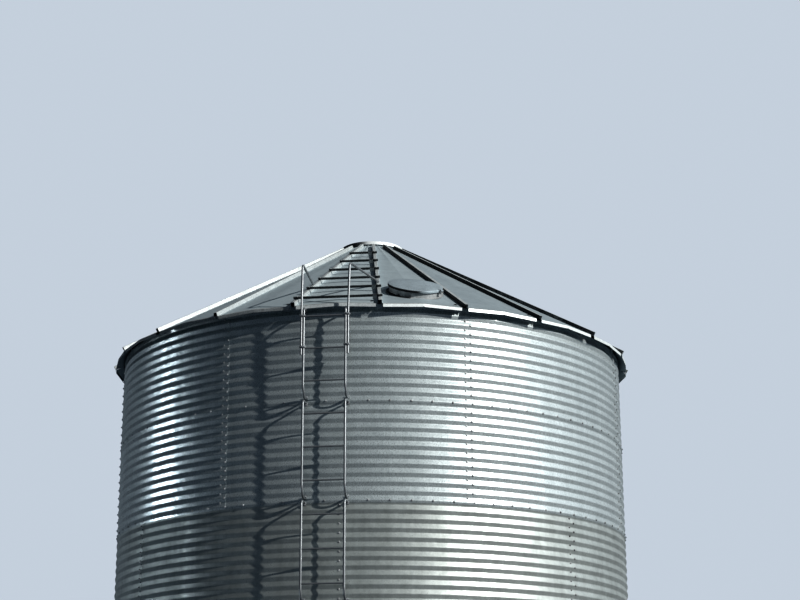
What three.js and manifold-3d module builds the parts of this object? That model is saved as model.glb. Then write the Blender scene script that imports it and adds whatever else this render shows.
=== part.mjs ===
// Grain silo: corrugated steel rings, a ribbed cone roof, a wall ladder, a roof hatch and a peak lid.
// Millimetres, +Z up. The origin is the middle of the floor's underside.
// A turn is an angle about +Z, measured from the front (-Y) towards +X.

import * as THREE from 'three';
import { mergeVertices } from 'three/addons/utils/BufferGeometryUtils.js';
import Module from 'manifold-3d';

const wasm = await Module();
wasm.setup();

const degrees = THREE.MathUtils.degToRad;

// Clearances
const SEAT_GAP = 0.3;
const LID_GAP = 7;
const PEAK_RING_GAP = 0.4;

// Wall: seven sheets to a ring, each ring eleven corrugations high
const SHEETS_PER_RING = 7;
const SHEET_COVER = 2873.4;
const RING_COUNT = 6;
const RING_HEIGHT = 1117.6;
const CORRUGATION_DEPTH = 12.7;
const WALL_SIDES = 84;
const WALL_RADIUS = SHEETS_PER_RING * SHEET_COVER / (2 * Math.PI);
const WALL_OUTSIDE = WALL_RADIUS + CORRUGATION_DEPTH / 2;
const WALL_INSIDE = WALL_RADIUS - CORRUGATION_DEPTH / 2;
const WALL_TOP = RING_COUNT * RING_HEIGHT;

// Floor and base angle
const FLOOR_THICKNESS = 6;
const ANGLE_LEG = 60;
const ANGLE_THICKNESS = 6;

// Roof
const PANEL_COUNT = 21;
const PANEL_TURN = 2 * Math.PI / PANEL_COUNT;
const ROOF_SIDES = 2 * PANEL_COUNT;
const ROOF_SLOPE = degrees(30);
const EAVE_RADIUS = WALL_RADIUS + 122;
const EAVE_HEIGHT = WALL_TOP - 34.68;
const PANEL_THICKNESS = 4;
const PANEL_EDGE_GAP = 0.5;
const EAVE_LIP = 28;
const RIB_WIDTH = 42;
const RIB_HEIGHT = 46;
const RIB_TOP_RADIUS = 490;

// Eave clips, as high as the roof is at the clip's top radius
const CLIP_WIDTH = 60;
const CLIP_THICKNESS = 8;
const CLIP_TOP_RADIUS = WALL_RADIUS + 12;
const CLIP_TURN = PANEL_TURN / 2 - degrees(1.6);

// Peak ring and its lid
const PEAK_RADIUS = 370;
const PANEL_TOP_RADIUS = PEAK_RADIUS + 5;
const PEAK_FLANGE_RADIUS = 500;
const PEAK_COLLAR_TOP = EAVE_HEIGHT + 1721.08;
const PEAK_LID_RADIUS = 415;
const PEAK_LID_LIP = 35;
const PEAK_LID_RISE = 30;
const PEAK_LID_SIDES = 28;
const PEAK_HINGE_PANEL = 10;
const PEAK_HINGE_RADIUS = 445;
const PEAK_HINGE_DROP = 5;
const PEAK_EAR_ROOT = 15;

// Roof hatch
const HATCH_PANEL = 1;
const HATCH_PLACE = 2800;
const HATCH_RADIUS = 300;
const HATCH_COLLAR_HEIGHT = 85;
const HATCH_COLLAR_DEPTH = 25;
const HATCH_LID_RADIUS = 320;
const HATCH_LID_LIP = 32;
const HATCH_LID_RISE = 22;
const HATCH_SIDES = 28;
const HATCH_CUTTER_LENGTH = 400;
const HATCH_HINGE_RADIUS = 340;
const HATCH_HINGE_SWING = degrees(36);
const HATCH_HINGE_DROP = 12;
const HATCH_ARM_THICKNESS = 12;
const HATCH_ARM_DROP = 6;

// Hinges; a root is how far one body reaches into the one it is joined to
const SHEET_THICKNESS = 4;
const KNUCKLE_RADIUS = 9;
const KNUCKLE_LENGTH = 40;
const STRAP_THICKNESS = 8;
const STRAP_ROOT = 30;
const EAR_THICKNESS = 6;
const EAR_WIDTH = 22;
const EAR_GAP = 2;
const EAR_ROOT = 1;
const PIN_RADIUS = 4;
const PIN_CLEARANCE = 0.6;
const BAR_SIDES = 12;

// Wall ladder, one section to a ring
const LADDER_TURN = degrees(-2);
const RAIL_SPACING = 475;
const RAIL_RADIUS = 13.5;
const RAIL_SIDES = 8;
const BEND_STEPS = 4;
const RUNG_RADIUS = 10;
const RUNG_SIDES = 6;
const LADDER_STANDOFF = 180;
const LADDER_FACE = -WALL_RADIUS - LADDER_STANDOFF;
const RAIL_ROOT = -WALL_RADIUS + 60;
const RAIL_LOW_BEND = 130;
const RAIL_HIGH_BEND = 50;
const RAIL_END_INSET = 22;
const LOWEST_RAIL_END = 110;
const TOP_RAIL_END = 78;
const FIRST_RUNG = 194;
const RUNGS_PER_SECTION = 3;
const RUNG_PITCH = RING_HEIGHT / RUNGS_PER_SECTION;

// Handrails from the top section over the eave to the ladder ribs
const HANDRAIL_FOOT = WALL_TOP - 625;
const HANDRAIL_SHOULDER = WALL_TOP - 150;
const HANDRAIL_TOP = WALL_TOP + 430;
const HANDRAIL_BEND = 50;
const HANDRAIL_LANDING = 2590;
const HANDRAIL_LIFT = 2;
const LEFT_HANDRAIL_LEAN = 7;
const RIGHT_HANDRAIL_LEAN = 16;

// Roof ladder: overhangs past the ribs, the left ones listed from the eave up
const ROOF_RUNG_START = 161.17;
const ROOF_RUNG_PITCH = 490.5;
const ROOF_RUNG_LEG = 30;
const ROOF_RUNG_THICKNESS = 4;
const ROOF_RUNG_RIGHT_OVERHANG = 35;
const ROOF_RUNG_LEFT_OVERHANGS = [35, 20, 12, 9, 2, 2];
const ROOF_RUNG_LIFT = 2.2;

const galvanised = {
  wall: new THREE.MeshStandardMaterial({ color: 0xb9bdbf, roughness: 0.42, metalness: 0.85 }),
  roof: new THREE.MeshStandardMaterial({ color: 0xa9afb3, roughness: 0.5, metalness: 0.8 }),
  fittings: new THREE.MeshStandardMaterial({ color: 0xb4b8ba, roughness: 0.45, metalness: 0.85 }),
};

// Helpers for closed solids

function enclosedVolume(geometry) {
  const place = geometry.getAttribute('position');
  const index = geometry.getIndex();
  const corner = [new THREE.Vector3(), new THREE.Vector3(), new THREE.Vector3()];
  let volume = 0;
  for (let i = 0; i < index.count; i += 3) {
    corner.forEach((point, k) => point.fromBufferAttribute(place, index.getX(i + k)));
    volume += corner[0].dot(corner[1].clone().cross(corner[2])) / 6;
  }
  return volume;
}

// Shared corners are merged, triangles that shrink to a line are dropped and faces turned outwards.
function closed(shape) {
  const bare = shape.clone();
  bare.deleteAttribute('normal');
  bare.deleteAttribute('uv');
  bare.clearGroups();
  const merged = mergeVertices(bare, 1e-3);
  const index = merged.getIndex().array;
  const kept = [];
  for (let i = 0; i < index.length; i += 3) {
    const [a, b, c] = index.slice(i, i + 3);
    if (a !== b && b !== c && c !== a) kept.push(a, b, c);
  }
  merged.setIndex(kept);
  if (enclosedVolume(merged) < 0) {
    for (let i = 0; i < kept.length; i += 3) [kept[i], kept[i + 1]] = [kept[i + 1], kept[i]];
    merged.setIndex(kept);
  }
  return merged;
}

function solid(shape) {
  const geometry = closed(shape);
  return new wasm.Manifold(new wasm.Mesh({
    numProp: 3,
    vertProperties: new Float32Array(geometry.getAttribute('position').array),
    triVerts: new Uint32Array(geometry.getIndex().array),
  }));
}

function surface(body) {
  const mesh = body.getMesh();
  const geometry = new THREE.BufferGeometry();
  geometry.setAttribute('position', new THREE.BufferAttribute(mesh.vertProperties, 3));
  geometry.setIndex(new THREE.BufferAttribute(mesh.triVerts, 1));
  return closed(geometry);
}

function united(shapes) {
  return shapes.map(solid).reduce((whole, body) => whole.add(body));
}

function piece(name, geometry, material) {
  const mesh = new THREE.Mesh(geometry, material);
  mesh.name = name;
  mesh.geometry.computeVertexNormals();
  return mesh;
}

// Shape helpers

// A ring or cap turned about +Z from its radius and height points.
function turned(points, sides) {
  const profile = points.map(([radius, height]) => new THREE.Vector2(radius, height));
  return new THREE.LatheGeometry([...profile, profile[0].clone()], sides).rotateX(Math.PI / 2);
}

// The same about +Y, for pieces that stand square to the roof.
function turnedAboutY(points, sides) {
  return turned(points, sides).rotateX(-Math.PI / 2);
}

function outline(points) {
  return new THREE.Shape(points.map(([x, y]) => new THREE.Vector2(x, y)));
}

function block(low, high) {
  const size = high.map((value, k) => value - low[k]);
  return new THREE.BoxGeometry(...size).translate(...low.map((value, k) => value + size[k] / 2));
}

function roundBar(radius, length, sides) {
  return new THREE.CylinderGeometry(radius, radius, length, sides);
}

function frameOf(origin, xAxis, yAxis) {
  const zAxis = new THREE.Vector3().crossVectors(xAxis, yAxis);
  return new THREE.Matrix4().makeBasis(xAxis, yAxis, zAxis).setPosition(origin);
}

function groupAt(matrix) {
  const group = new THREE.Group();
  matrix.decompose(group.position, group.quaternion, group.scale);
  return group;
}

// A path of straight runs joined by round bends, one radius to each inner corner.
class BentPath extends THREE.Curve {
  constructor(corners, bends, bendSteps) {
    super();
    this.points = [corners[0]];
    bends.forEach((radius, i) => {
      this.points.push(...this.bend(corners[i], corners[i + 1], corners[i + 2], radius, bendSteps));
    });
    this.points.push(corners[corners.length - 1]);
  }

  bend(before, corner, after, radius, steps) {
    const back = before.clone().sub(corner).normalize();
    const ahead = after.clone().sub(corner).normalize();
    const halfAngle = back.angleTo(ahead) / 2;
    const middle = back.clone().add(ahead).normalize();
    const centre = corner.clone().addScaledVector(middle, radius / Math.sin(halfAngle));
    const start = corner.clone().addScaledVector(back, radius / Math.tan(halfAngle)).sub(centre);
    const swing = new THREE.Vector3().crossVectors(ahead, back).normalize();
    const sweep = Math.PI - 2 * halfAngle;
    return Array.from({ length: steps + 1 }, (_, i) => (
      start.clone().applyAxisAngle(swing, sweep * i / steps).add(centre)
    ));
  }

  at(share) {
    return Math.round(share * (this.points.length - 1));
  }

  getPointAt(share) {
    return this.points[this.at(share)].clone();
  }

  getTangentAt(share) {
    const here = this.at(share);
    const last = this.points.length - 1;
    const next = this.points[Math.min(here + 1, last)];
    return next.clone().sub(this.points[Math.max(here - 1, 0)]).normalize();
  }
}

function tube(corners, bends) {
  const path = new BentPath(corners.map((corner) => new THREE.Vector3(...corner)), bends, BEND_STEPS);
  const section = Array.from({ length: RAIL_SIDES }, (_, i) => {
    const angle = 2 * Math.PI * (i + 0.5) / RAIL_SIDES;
    return [RAIL_RADIUS * Math.cos(angle), RAIL_RADIUS * Math.sin(angle)];
  });
  return new THREE.ExtrudeGeometry(outline(section), {
    steps: path.points.length - 1,
    extrudePath: path,
    bevelEnabled: false,
  });
}

// Wall, floor and base angle

function makeWall(group) {
  const ring = closed(turned([
    [WALL_INSIDE, SEAT_GAP],
    [WALL_OUTSIDE, SEAT_GAP],
    [WALL_OUTSIDE, RING_HEIGHT],
    [WALL_INSIDE, RING_HEIGHT],
  ], WALL_SIDES));
  for (let i = 0; i < RING_COUNT; i += 1) {
    const wallRing = piece(`wall_ring_${i + 1}`, ring, galvanised.wall);
    wallRing.position.z = i * RING_HEIGHT;
    group.add(wallRing);
  }
}

function makeBase(group) {
  const floor = closed(turned([
    [0, 0],
    [WALL_INSIDE - SEAT_GAP, 0],
    [WALL_INSIDE - SEAT_GAP, FLOOR_THICKNESS],
    [0, FLOOR_THICKNESS],
  ], WALL_SIDES));
  const inner = WALL_OUTSIDE + SEAT_GAP;
  const angle = closed(turned([
    [inner, 0],
    [inner + ANGLE_LEG, 0],
    [inner + ANGLE_LEG, ANGLE_THICKNESS],
    [inner + ANGLE_THICKNESS, ANGLE_THICKNESS],
    [inner + ANGLE_THICKNESS, ANGLE_LEG],
    [inner, ANGLE_LEG],
  ], WALL_SIDES));
  group.add(piece('floor', floor, galvanised.wall));
  group.add(piece('base_angle', angle, galvanised.fittings));
}

// Roof

function roofHeight(radius) {
  return EAVE_HEIGHT + (EAVE_RADIUS - radius) * Math.tan(ROOF_SLOPE);
}

function outwards(turn) {
  return new THREE.Vector3(Math.sin(turn), -Math.cos(turn), 0);
}

function sideways(turn) {
  return new THREE.Vector3(Math.cos(turn), Math.sin(turn), 0);
}

function roofNormal(turn) {
  return outwards(turn).multiplyScalar(Math.sin(ROOF_SLOPE)).setZ(Math.cos(ROOF_SLOPE));
}

function roofPoint(turn, radius) {
  return outwards(turn).multiplyScalar(radius).setZ(roofHeight(radius));
}

// X runs sideways, Y stands square to the roof and Z runs down the slope.
function roofFrame(turn, radius) {
  return frameOf(roofPoint(turn, radius), sideways(turn), roofNormal(turn));
}

function panelSheet() {
  const drop = PANEL_THICKNESS / Math.cos(ROOF_SLOPE);
  const inner = EAVE_RADIUS - PANEL_THICKNESS;
  const cone = turned([
    [PANEL_TOP_RADIUS, roofHeight(PANEL_TOP_RADIUS)],
    [EAVE_RADIUS, EAVE_HEIGHT],
    [EAVE_RADIUS, EAVE_HEIGHT - EAVE_LIP],
    [inner, EAVE_HEIGHT - EAVE_LIP],
    [inner, roofHeight(inner) - drop],
    [PANEL_TOP_RADIUS, roofHeight(PANEL_TOP_RADIUS) - drop],
  ], ROOF_SIDES);
  const reach = 2 * EAVE_RADIUS;
  const half = PANEL_TURN / 2;
  const inset = PANEL_EDGE_GAP / Math.sin(half);
  const wedge = new THREE.ExtrudeGeometry(outline([
    [0, -inset],
    [-reach * Math.sin(half), -inset - reach * Math.cos(half)],
    [reach * Math.sin(half), -inset - reach * Math.cos(half)],
  ]), { depth: 2 * WALL_TOP, bevelEnabled: false });
  return solid(cone).intersect(solid(wedge));
}

// An upturned channel over the joint on the panel's left edge.
function panelRib() {
  const half = RIB_WIDTH / 2;
  const inside = half - PANEL_THICKNESS;
  const length = (EAVE_RADIUS - RIB_TOP_RADIUS) / Math.cos(ROOF_SLOPE);
  const channel = outline([
    [-half, SEAT_GAP],
    [-inside, SEAT_GAP],
    [-inside, RIB_HEIGHT - PANEL_THICKNESS],
    [inside, RIB_HEIGHT - PANEL_THICKNESS],
    [inside, -PANEL_THICKNESS / 2],
    [half, -PANEL_THICKNESS / 2],
    [half, RIB_HEIGHT],
    [-half, RIB_HEIGHT],
  ]);
  return new THREE.ExtrudeGeometry(channel, { depth: length, bevelEnabled: false })
    .applyMatrix4(roofFrame(-PANEL_TURN / 2, RIB_TOP_RADIUS));
}

// A short upright strip that stands the panel on the wall's top edge.
function eaveClip() {
  const low = [-CLIP_WIDTH / 2, -WALL_RADIUS - CLIP_THICKNESS / 2, WALL_TOP + SEAT_GAP];
  const high = [CLIP_WIDTH / 2, -WALL_RADIUS + CLIP_THICKNESS / 2, roofHeight(CLIP_TOP_RADIUS)];
  return block(low, high).rotateZ(CLIP_TURN);
}

function hatchHole() {
  return solid(roundBar(HATCH_RADIUS + SEAT_GAP, HATCH_CUTTER_LENGTH, HATCH_SIDES)
    .applyMatrix4(hatchFrame())
    .rotateZ(-HATCH_PANEL * PANEL_TURN));
}

// The peak hinge's ears, rooted in the sheet's thickness.
function peakEars() {
  const foot = roofHeight(PEAK_HINGE_RADIUS) - PEAK_EAR_ROOT;
  const ears = hingeEars(PEAK_HINGE_RADIUS, peakHingeHeight(), foot);
  const hole = pinHole(PEAK_HINGE_RADIUS, peakHingeHeight());
  const toPanel = (shape) => shape.applyMatrix4(peakFrame()).rotateZ(-PEAK_HINGE_PANEL * PANEL_TURN);
  const middle = PANEL_THICKNESS / 2;
  const below = turned([
    [0, 0],
    [EAVE_RADIUS, 0],
    [EAVE_RADIUS, EAVE_HEIGHT - middle],
    [0, roofHeight(0) - middle],
  ], ROOF_SIDES);
  return united(ears.map(toPanel)).subtract(solid(toPanel(hole))).subtract(solid(below));
}

function makeRoof(group) {
  const plain = panelSheet().add(solid(panelRib())).add(solid(eaveClip()));
  for (let i = 0; i < PANEL_COUNT; i += 1) {
    let body = plain;
    if (i === HATCH_PANEL) body = plain.subtract(hatchHole());
    if (i === PEAK_HINGE_PANEL) body = plain.add(peakEars());
    const panel = piece(`roof_panel_${String(i + 1).padStart(2, '0')}`, surface(body), galvanised.roof);
    panel.rotation.z = i * PANEL_TURN;
    group.add(panel);
  }
}

// Lid hinges, drawn with X out to the hinge, Y up from the lid and Z along the pin

function hingeEars(radius, height, foot) {
  const near = KNUCKLE_LENGTH / 2 + EAR_GAP;
  return [-1, 1].map((side) => {
    const [low, high] = [side * near, side * (near + EAR_THICKNESS)].sort((a, b) => a - b);
    return block(
      [radius - EAR_WIDTH / 2, foot, low],
      [radius + EAR_WIDTH / 2, height + EAR_WIDTH / 2, high],
    );
  });
}

function crossBar(barRadius, length, radius, height) {
  return roundBar(barRadius, length, BAR_SIDES).rotateX(Math.PI / 2).translate(radius, height, 0);
}

function pinHole(radius, height) {
  return crossBar(PIN_RADIUS + PIN_CLEARANCE, 3 * KNUCKLE_LENGTH, radius, height);
}

function lidStrap(lidRadius, radius, height, lidTop) {
  const half = KNUCKLE_LENGTH / 2;
  return [
    block(
      [lidRadius - STRAP_ROOT, lidTop - STRAP_THICKNESS / 2, -half],
      [radius, lidTop + STRAP_THICKNESS / 2, half],
    ),
    crossBar(KNUCKLE_RADIUS, KNUCKLE_LENGTH, radius, height),
    crossBar(PIN_RADIUS, KNUCKLE_LENGTH + 2 * (EAR_GAP + EAR_THICKNESS), radius, height),
  ];
}

// A shallow cap with a turned-down lip, its rim top at the given height.
function lidCap(radius, rimTop, rise, lip, sides) {
  const inner = radius - SHEET_THICKNESS;
  return turnedAboutY([
    [0, rimTop + rise],
    [radius, rimTop],
    [radius, rimTop - lip],
    [inner, rimTop - lip],
    [inner, rimTop - SHEET_THICKNESS],
    [0, rimTop + rise - SHEET_THICKNESS],
  ], sides);
}

// Peak ring and lid

function peakFrame() {
  const turn = PEAK_HINGE_PANEL * PANEL_TURN;
  return frameOf(new THREE.Vector3(), outwards(turn), new THREE.Vector3(0, 0, 1));
}

function peakRimTop() {
  return PEAK_COLLAR_TOP + LID_GAP + SHEET_THICKNESS;
}

function peakHingeHeight() {
  return peakRimTop() - PEAK_HINGE_DROP;
}

function makePeak(group) {
  const inner = PEAK_RADIUS - SHEET_THICKNESS;
  const under = (PANEL_THICKNESS + PEAK_RING_GAP) / Math.cos(ROOF_SLOPE);
  const bottom = under + SHEET_THICKNESS;
  const ring = closed(turned([
    [inner, roofHeight(inner) - bottom],
    [PEAK_FLANGE_RADIUS, roofHeight(PEAK_FLANGE_RADIUS) - bottom],
    [PEAK_FLANGE_RADIUS, roofHeight(PEAK_FLANGE_RADIUS) - under],
    [PEAK_RADIUS, roofHeight(PEAK_RADIUS) - under],
    [PEAK_RADIUS, PEAK_COLLAR_TOP],
    [inner, PEAK_COLLAR_TOP],
  ], ROOF_SIDES));
  group.add(piece('peak_ring', ring, galvanised.roof));

  const lidGroup = groupAt(peakFrame());
  const lid = united([
    lidCap(PEAK_LID_RADIUS, peakRimTop(), PEAK_LID_RISE, PEAK_LID_LIP, PEAK_LID_SIDES),
    ...lidStrap(PEAK_LID_RADIUS, PEAK_HINGE_RADIUS, peakHingeHeight(), peakRimTop()),
  ]);
  lidGroup.add(piece('peak_lid', surface(lid), galvanised.fittings));
  group.add(lidGroup);
}

// Roof hatch

// X points at the hinge, turned down the slope from sideways, and Y is square to the roof.
function hatchFrame() {
  const turn = HATCH_PANEL * PANEL_TURN;
  const side = sideways(turn);
  const normal = roofNormal(turn);
  const downSlope = new THREE.Vector3().crossVectors(side, normal);
  const toHinge = side.multiplyScalar(Math.cos(HATCH_HINGE_SWING))
    .addScaledVector(downSlope, Math.sin(HATCH_HINGE_SWING));
  return frameOf(roofPoint(turn, HATCH_PLACE), toHinge, normal);
}

function hatchCollar(rimTop, hingeHeight) {
  const inner = HATCH_RADIUS - SHEET_THICKNESS;
  const armTop = rimTop - HATCH_LID_LIP - HATCH_ARM_DROP;
  const armHalf = KNUCKLE_LENGTH / 2 + EAR_GAP + EAR_THICKNESS;
  const wall = turnedAboutY([
    [inner, -HATCH_COLLAR_DEPTH],
    [HATCH_RADIUS, -HATCH_COLLAR_DEPTH],
    [HATCH_RADIUS, HATCH_COLLAR_HEIGHT],
    [inner, HATCH_COLLAR_HEIGHT],
  ], HATCH_SIDES);
  const arm = block(
    [inner + SHEET_THICKNESS / 4, armTop - HATCH_ARM_THICKNESS, -armHalf],
    [HATCH_HINGE_RADIUS + EAR_WIDTH / 2, armTop, armHalf],
  );
  const ears = hingeEars(HATCH_HINGE_RADIUS, hingeHeight, armTop - EAR_ROOT);
  return united([wall, arm, ...ears]).subtract(solid(pinHole(HATCH_HINGE_RADIUS, hingeHeight)));
}

function makeHatch(group) {
  const rimTop = HATCH_COLLAR_HEIGHT + LID_GAP + SHEET_THICKNESS;
  const hingeHeight = rimTop - HATCH_HINGE_DROP;
  const hatch = groupAt(hatchFrame());
  const lid = united([
    lidCap(HATCH_LID_RADIUS, rimTop, HATCH_LID_RISE, HATCH_LID_LIP, HATCH_SIDES),
    ...lidStrap(HATCH_LID_RADIUS, HATCH_HINGE_RADIUS, hingeHeight, rimTop),
  ]);
  hatch.add(piece('hatch_collar', surface(hatchCollar(rimTop, hingeHeight)), galvanised.fittings));
  hatch.add(piece('hatch_lid', surface(lid), galvanised.fittings));
  group.add(hatch);
}

// Wall ladder and handrails

function wallCutter() {
  return solid(turned([
    [0, -RING_HEIGHT],
    [WALL_OUTSIDE + SEAT_GAP, -RING_HEIGHT],
    [WALL_OUTSIDE + SEAT_GAP, 2 * RING_HEIGHT],
    [0, 2 * RING_HEIGHT],
  ], WALL_SIDES).rotateZ(-LADDER_TURN));
}

// Each rail springs from the wall in a wide bend at its low end and returns to it in a
// tighter one at its high end.
function ladderSection(low, high) {
  const rails = [-1, 1].map((side) => {
    const x = side * RAIL_SPACING / 2;
    return tube([
      [x, RAIL_ROOT, low],
      [x, LADDER_FACE, low],
      [x, LADDER_FACE, high],
      [x, RAIL_ROOT, high],
    ], [RAIL_LOW_BEND, RAIL_HIGH_BEND]);
  });
  const rungs = Array.from({ length: RUNGS_PER_SECTION }, (_, i) => (
    roundBar(RUNG_RADIUS, RAIL_SPACING, RUNG_SIDES).rotateZ(Math.PI / 2)
      .translate(0, LADDER_FACE, FIRST_RUNG + i * RUNG_PITCH)
  ));
  return surface(united([...rails, ...rungs]).subtract(wallCutter()));
}

function makeWallLadder(group) {
  const high = RING_HEIGHT - RAIL_END_INSET;
  const sections = Array(RING_COUNT).fill(ladderSection(RAIL_END_INSET, high));
  sections[0] = ladderSection(LOWEST_RAIL_END, high);
  sections[RING_COUNT - 1] = ladderSection(RAIL_END_INSET, RING_HEIGHT - TOP_RAIL_END);
  const ladder = new THREE.Group();
  ladder.rotation.z = LADDER_TURN;
  for (let i = 0; i < RING_COUNT; i += 1) {
    const part = piece(`wall_ladder_${i + 1}`, sections[i], galvanised.fittings);
    part.position.z = i * RING_HEIGHT;
    ladder.add(part);
  }
  group.add(ladder);
}

// A handrail's lean is how far its top stands to the right of its foot.
function handrail(side, lean) {
  const foot = side * (RAIL_SPACING / 2 + 2 * RAIL_RADIUS + 2 * SEAT_GAP);
  const landing = roofPoint(side * PANEL_TURN / 2 - LADDER_TURN, HANDRAIL_LANDING);
  const ribTop = landing.z + RIB_HEIGHT / Math.cos(ROOF_SLOPE);
  return closed(tube([
    [foot, LADDER_FACE, HANDRAIL_FOOT],
    [foot, LADDER_FACE, HANDRAIL_SHOULDER],
    [foot + lean, LADDER_FACE, HANDRAIL_TOP],
    [landing.x, landing.y, ribTop + RAIL_RADIUS + HANDRAIL_LIFT],
  ], [HANDRAIL_BEND, HANDRAIL_BEND]));
}

function makeHandrails(group) {
  const ladder = new THREE.Group();
  ladder.rotation.z = LADDER_TURN;
  ladder.add(piece('handrail_left', handrail(-1, LEFT_HANDRAIL_LEAN), galvanised.fittings));
  ladder.add(piece('handrail_right', handrail(1, RIGHT_HANDRAIL_LEAN), galvanised.fittings));
  group.add(ladder);
}

// Roof ladder: angle bars laid across the two ribs of the front panel

function roofRung(place, leftOverhang) {
  const half = PANEL_TURN / 2;
  const leg = ROOF_RUNG_LEG;
  const section = outline([
    [0, 0],
    [ROOF_RUNG_THICKNESS, 0],
    [ROOF_RUNG_THICKNESS, leg - ROOF_RUNG_THICKNESS],
    [leg, leg - ROOF_RUNG_THICKNESS],
    [leg, leg],
    [0, leg],
  ]);
  const radius = EAVE_RADIUS - place * Math.cos(ROOF_SLOPE);
  const rightEnd = radius * Math.sin(half) + ROOF_RUNG_RIGHT_OVERHANG;
  const length = rightEnd + radius * Math.sin(half) + leftOverhang;
  const across = sideways(0);
  const normal = roofNormal(0);
  const downSlope = new THREE.Vector3().crossVectors(across, normal);
  const seat = new THREE.Vector3(rightEnd, -radius * Math.cos(half), roofHeight(radius))
    .addScaledVector(normal, RIB_HEIGHT + ROOF_RUNG_LIFT);
  return closed(new THREE.ExtrudeGeometry(section, { depth: length, bevelEnabled: false })
    .applyMatrix4(frameOf(seat, downSlope, normal)));
}

function makeRoofLadder(group) {
  ROOF_RUNG_LEFT_OVERHANGS.forEach((overhang, i) => {
    const rung = roofRung(ROOF_RUNG_START + i * ROOF_RUNG_PITCH, overhang);
    group.add(piece(`roof_rung_${i + 1}`, rung, galvanised.fittings));
  });
}

const silo = new THREE.Group();
silo.name = 'grain_silo';
makeBase(silo);
makeWall(silo);
makeRoof(silo);
makePeak(silo);
makeHatch(silo);
makeWallLadder(silo);
makeHandrails(silo);
makeRoofLadder(silo);

export default silo;
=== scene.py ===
# %% [markdown]
# # A corrugated steel grain silo
#
# The silo stands ready as a packed model: rings of wall, a cone roof of ribbed
# panels, a ladder, a hatch and a lid over the peak. This file gives those plain
# solids their real surfaces. It loads the model as a fixed frame, builds each
# visible piece again with the sheet's true corrugations, folds and bolts, hides
# the plain solid under it, and lights the whole for a picture.
#
# Blender works in metres here. The middle of the floor is the origin, and a
# "turn" is an angle round the silo, measured from the front towards the right.

# %% Load the frame
from math import cos, pi, radians, sin, tan

import bpy
import numpy as np
from mathutils import Matrix


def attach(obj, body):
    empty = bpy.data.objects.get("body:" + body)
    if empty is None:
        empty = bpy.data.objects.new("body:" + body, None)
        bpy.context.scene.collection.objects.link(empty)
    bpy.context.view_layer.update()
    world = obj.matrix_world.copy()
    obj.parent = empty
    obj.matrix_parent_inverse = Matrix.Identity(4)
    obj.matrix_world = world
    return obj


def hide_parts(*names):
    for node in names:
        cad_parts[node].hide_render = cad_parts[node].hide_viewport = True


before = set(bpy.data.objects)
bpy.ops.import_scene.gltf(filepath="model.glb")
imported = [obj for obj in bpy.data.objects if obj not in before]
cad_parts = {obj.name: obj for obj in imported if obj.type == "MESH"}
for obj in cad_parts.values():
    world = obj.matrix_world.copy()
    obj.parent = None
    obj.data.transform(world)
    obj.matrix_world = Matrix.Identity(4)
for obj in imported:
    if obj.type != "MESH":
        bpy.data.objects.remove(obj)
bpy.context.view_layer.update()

# %% [markdown]
# ## The camera
#
# A camera is a place, a direction and a lens. The silo is seen from 21 m away
# and from eye height, so the camera looks up at the eave. The unit vectors
# right, up and back are the columns of its matrix: they are worked out for a
# camera straight in front, then swung round the silo by its turn. Typing a
# matrix in is exact, where a "look at" helper would lose the small roll.

# %% Camera
CAMERA_TURN = radians(7.04)
CAMERA_DISTANCE = 21.379
EYE_HEIGHT = 1.2476
YAW, PITCH, ROLL = radians(0.99), radians(16.84), radians(-0.21)
LENS_MM = 75.54
SENSOR_MM = 36.0


def swung(points, turn):
    """Points turned about the silo's upright axis: (x, y) becomes
    (x cos t - y sin t, x sin t + y cos t), and the height stays."""
    points = np.asarray(points, float)
    x = points[..., 0] * cos(turn) - points[..., 1] * sin(turn)
    y = points[..., 0] * sin(turn) + points[..., 1] * cos(turn)
    return np.stack([x, y, points[..., 2]], -1)


def stand(name, data, columns):
    """An object whose matrix has three axes and a place as its columns."""
    made = bpy.data.objects.new(name, data)
    matrix = np.eye(4)
    matrix[:3] = np.stack(columns, 1)
    made.matrix_world = Matrix(matrix.tolist())
    bpy.context.collection.objects.link(made)
    return made


ahead = np.array([sin(YAW) * cos(PITCH), cos(YAW) * cos(PITCH), sin(PITCH)])
level = np.array([cos(YAW), -sin(YAW), 0.0])
over = np.cross(level, ahead)
right = cos(ROLL) * level + sin(ROLL) * over
above = cos(ROLL) * over - sin(ROLL) * level
eye = np.array([0.0, -CAMERA_DISTANCE, EYE_HEIGHT])

camera = stand("camera", bpy.data.cameras.new("camera"),
               swung([right, above, -ahead, eye], CAMERA_TURN))
camera.data.lens = LENS_MM
camera.data.sensor_width = SENSOR_MM
camera.data.sensor_fit = "HORIZONTAL"
camera.data.clip_end = 1000.0
bpy.context.scene.camera = camera
bpy.context.scene.view_settings.view_transform = "Standard"
bpy.context.scene.view_settings.look = "High Contrast"
print("camera at", np.round(swung(eye, CAMERA_TURN), 3))

# %% [markdown]
# ## Shader maths as plain Python
#
# A shader is a net of nodes, which is slow to read when it is built by hand. The
# class below wraps one output socket. The operators + - * ** on it add the Math
# nodes, so a mask can be written as a formula, and one method, `node`, adds any
# other node. Its settings are set first, because some of them change which
# sockets the node has.

# %% Sockets with operators
def operator(operation, swapped=False):
    """A method that adds one Math node for two values."""
    def method(self, other):
        values = (other, self) if swapped else (self, other)
        return self.node("Math", enumerate(values), operation=operation)
    return method


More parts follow.
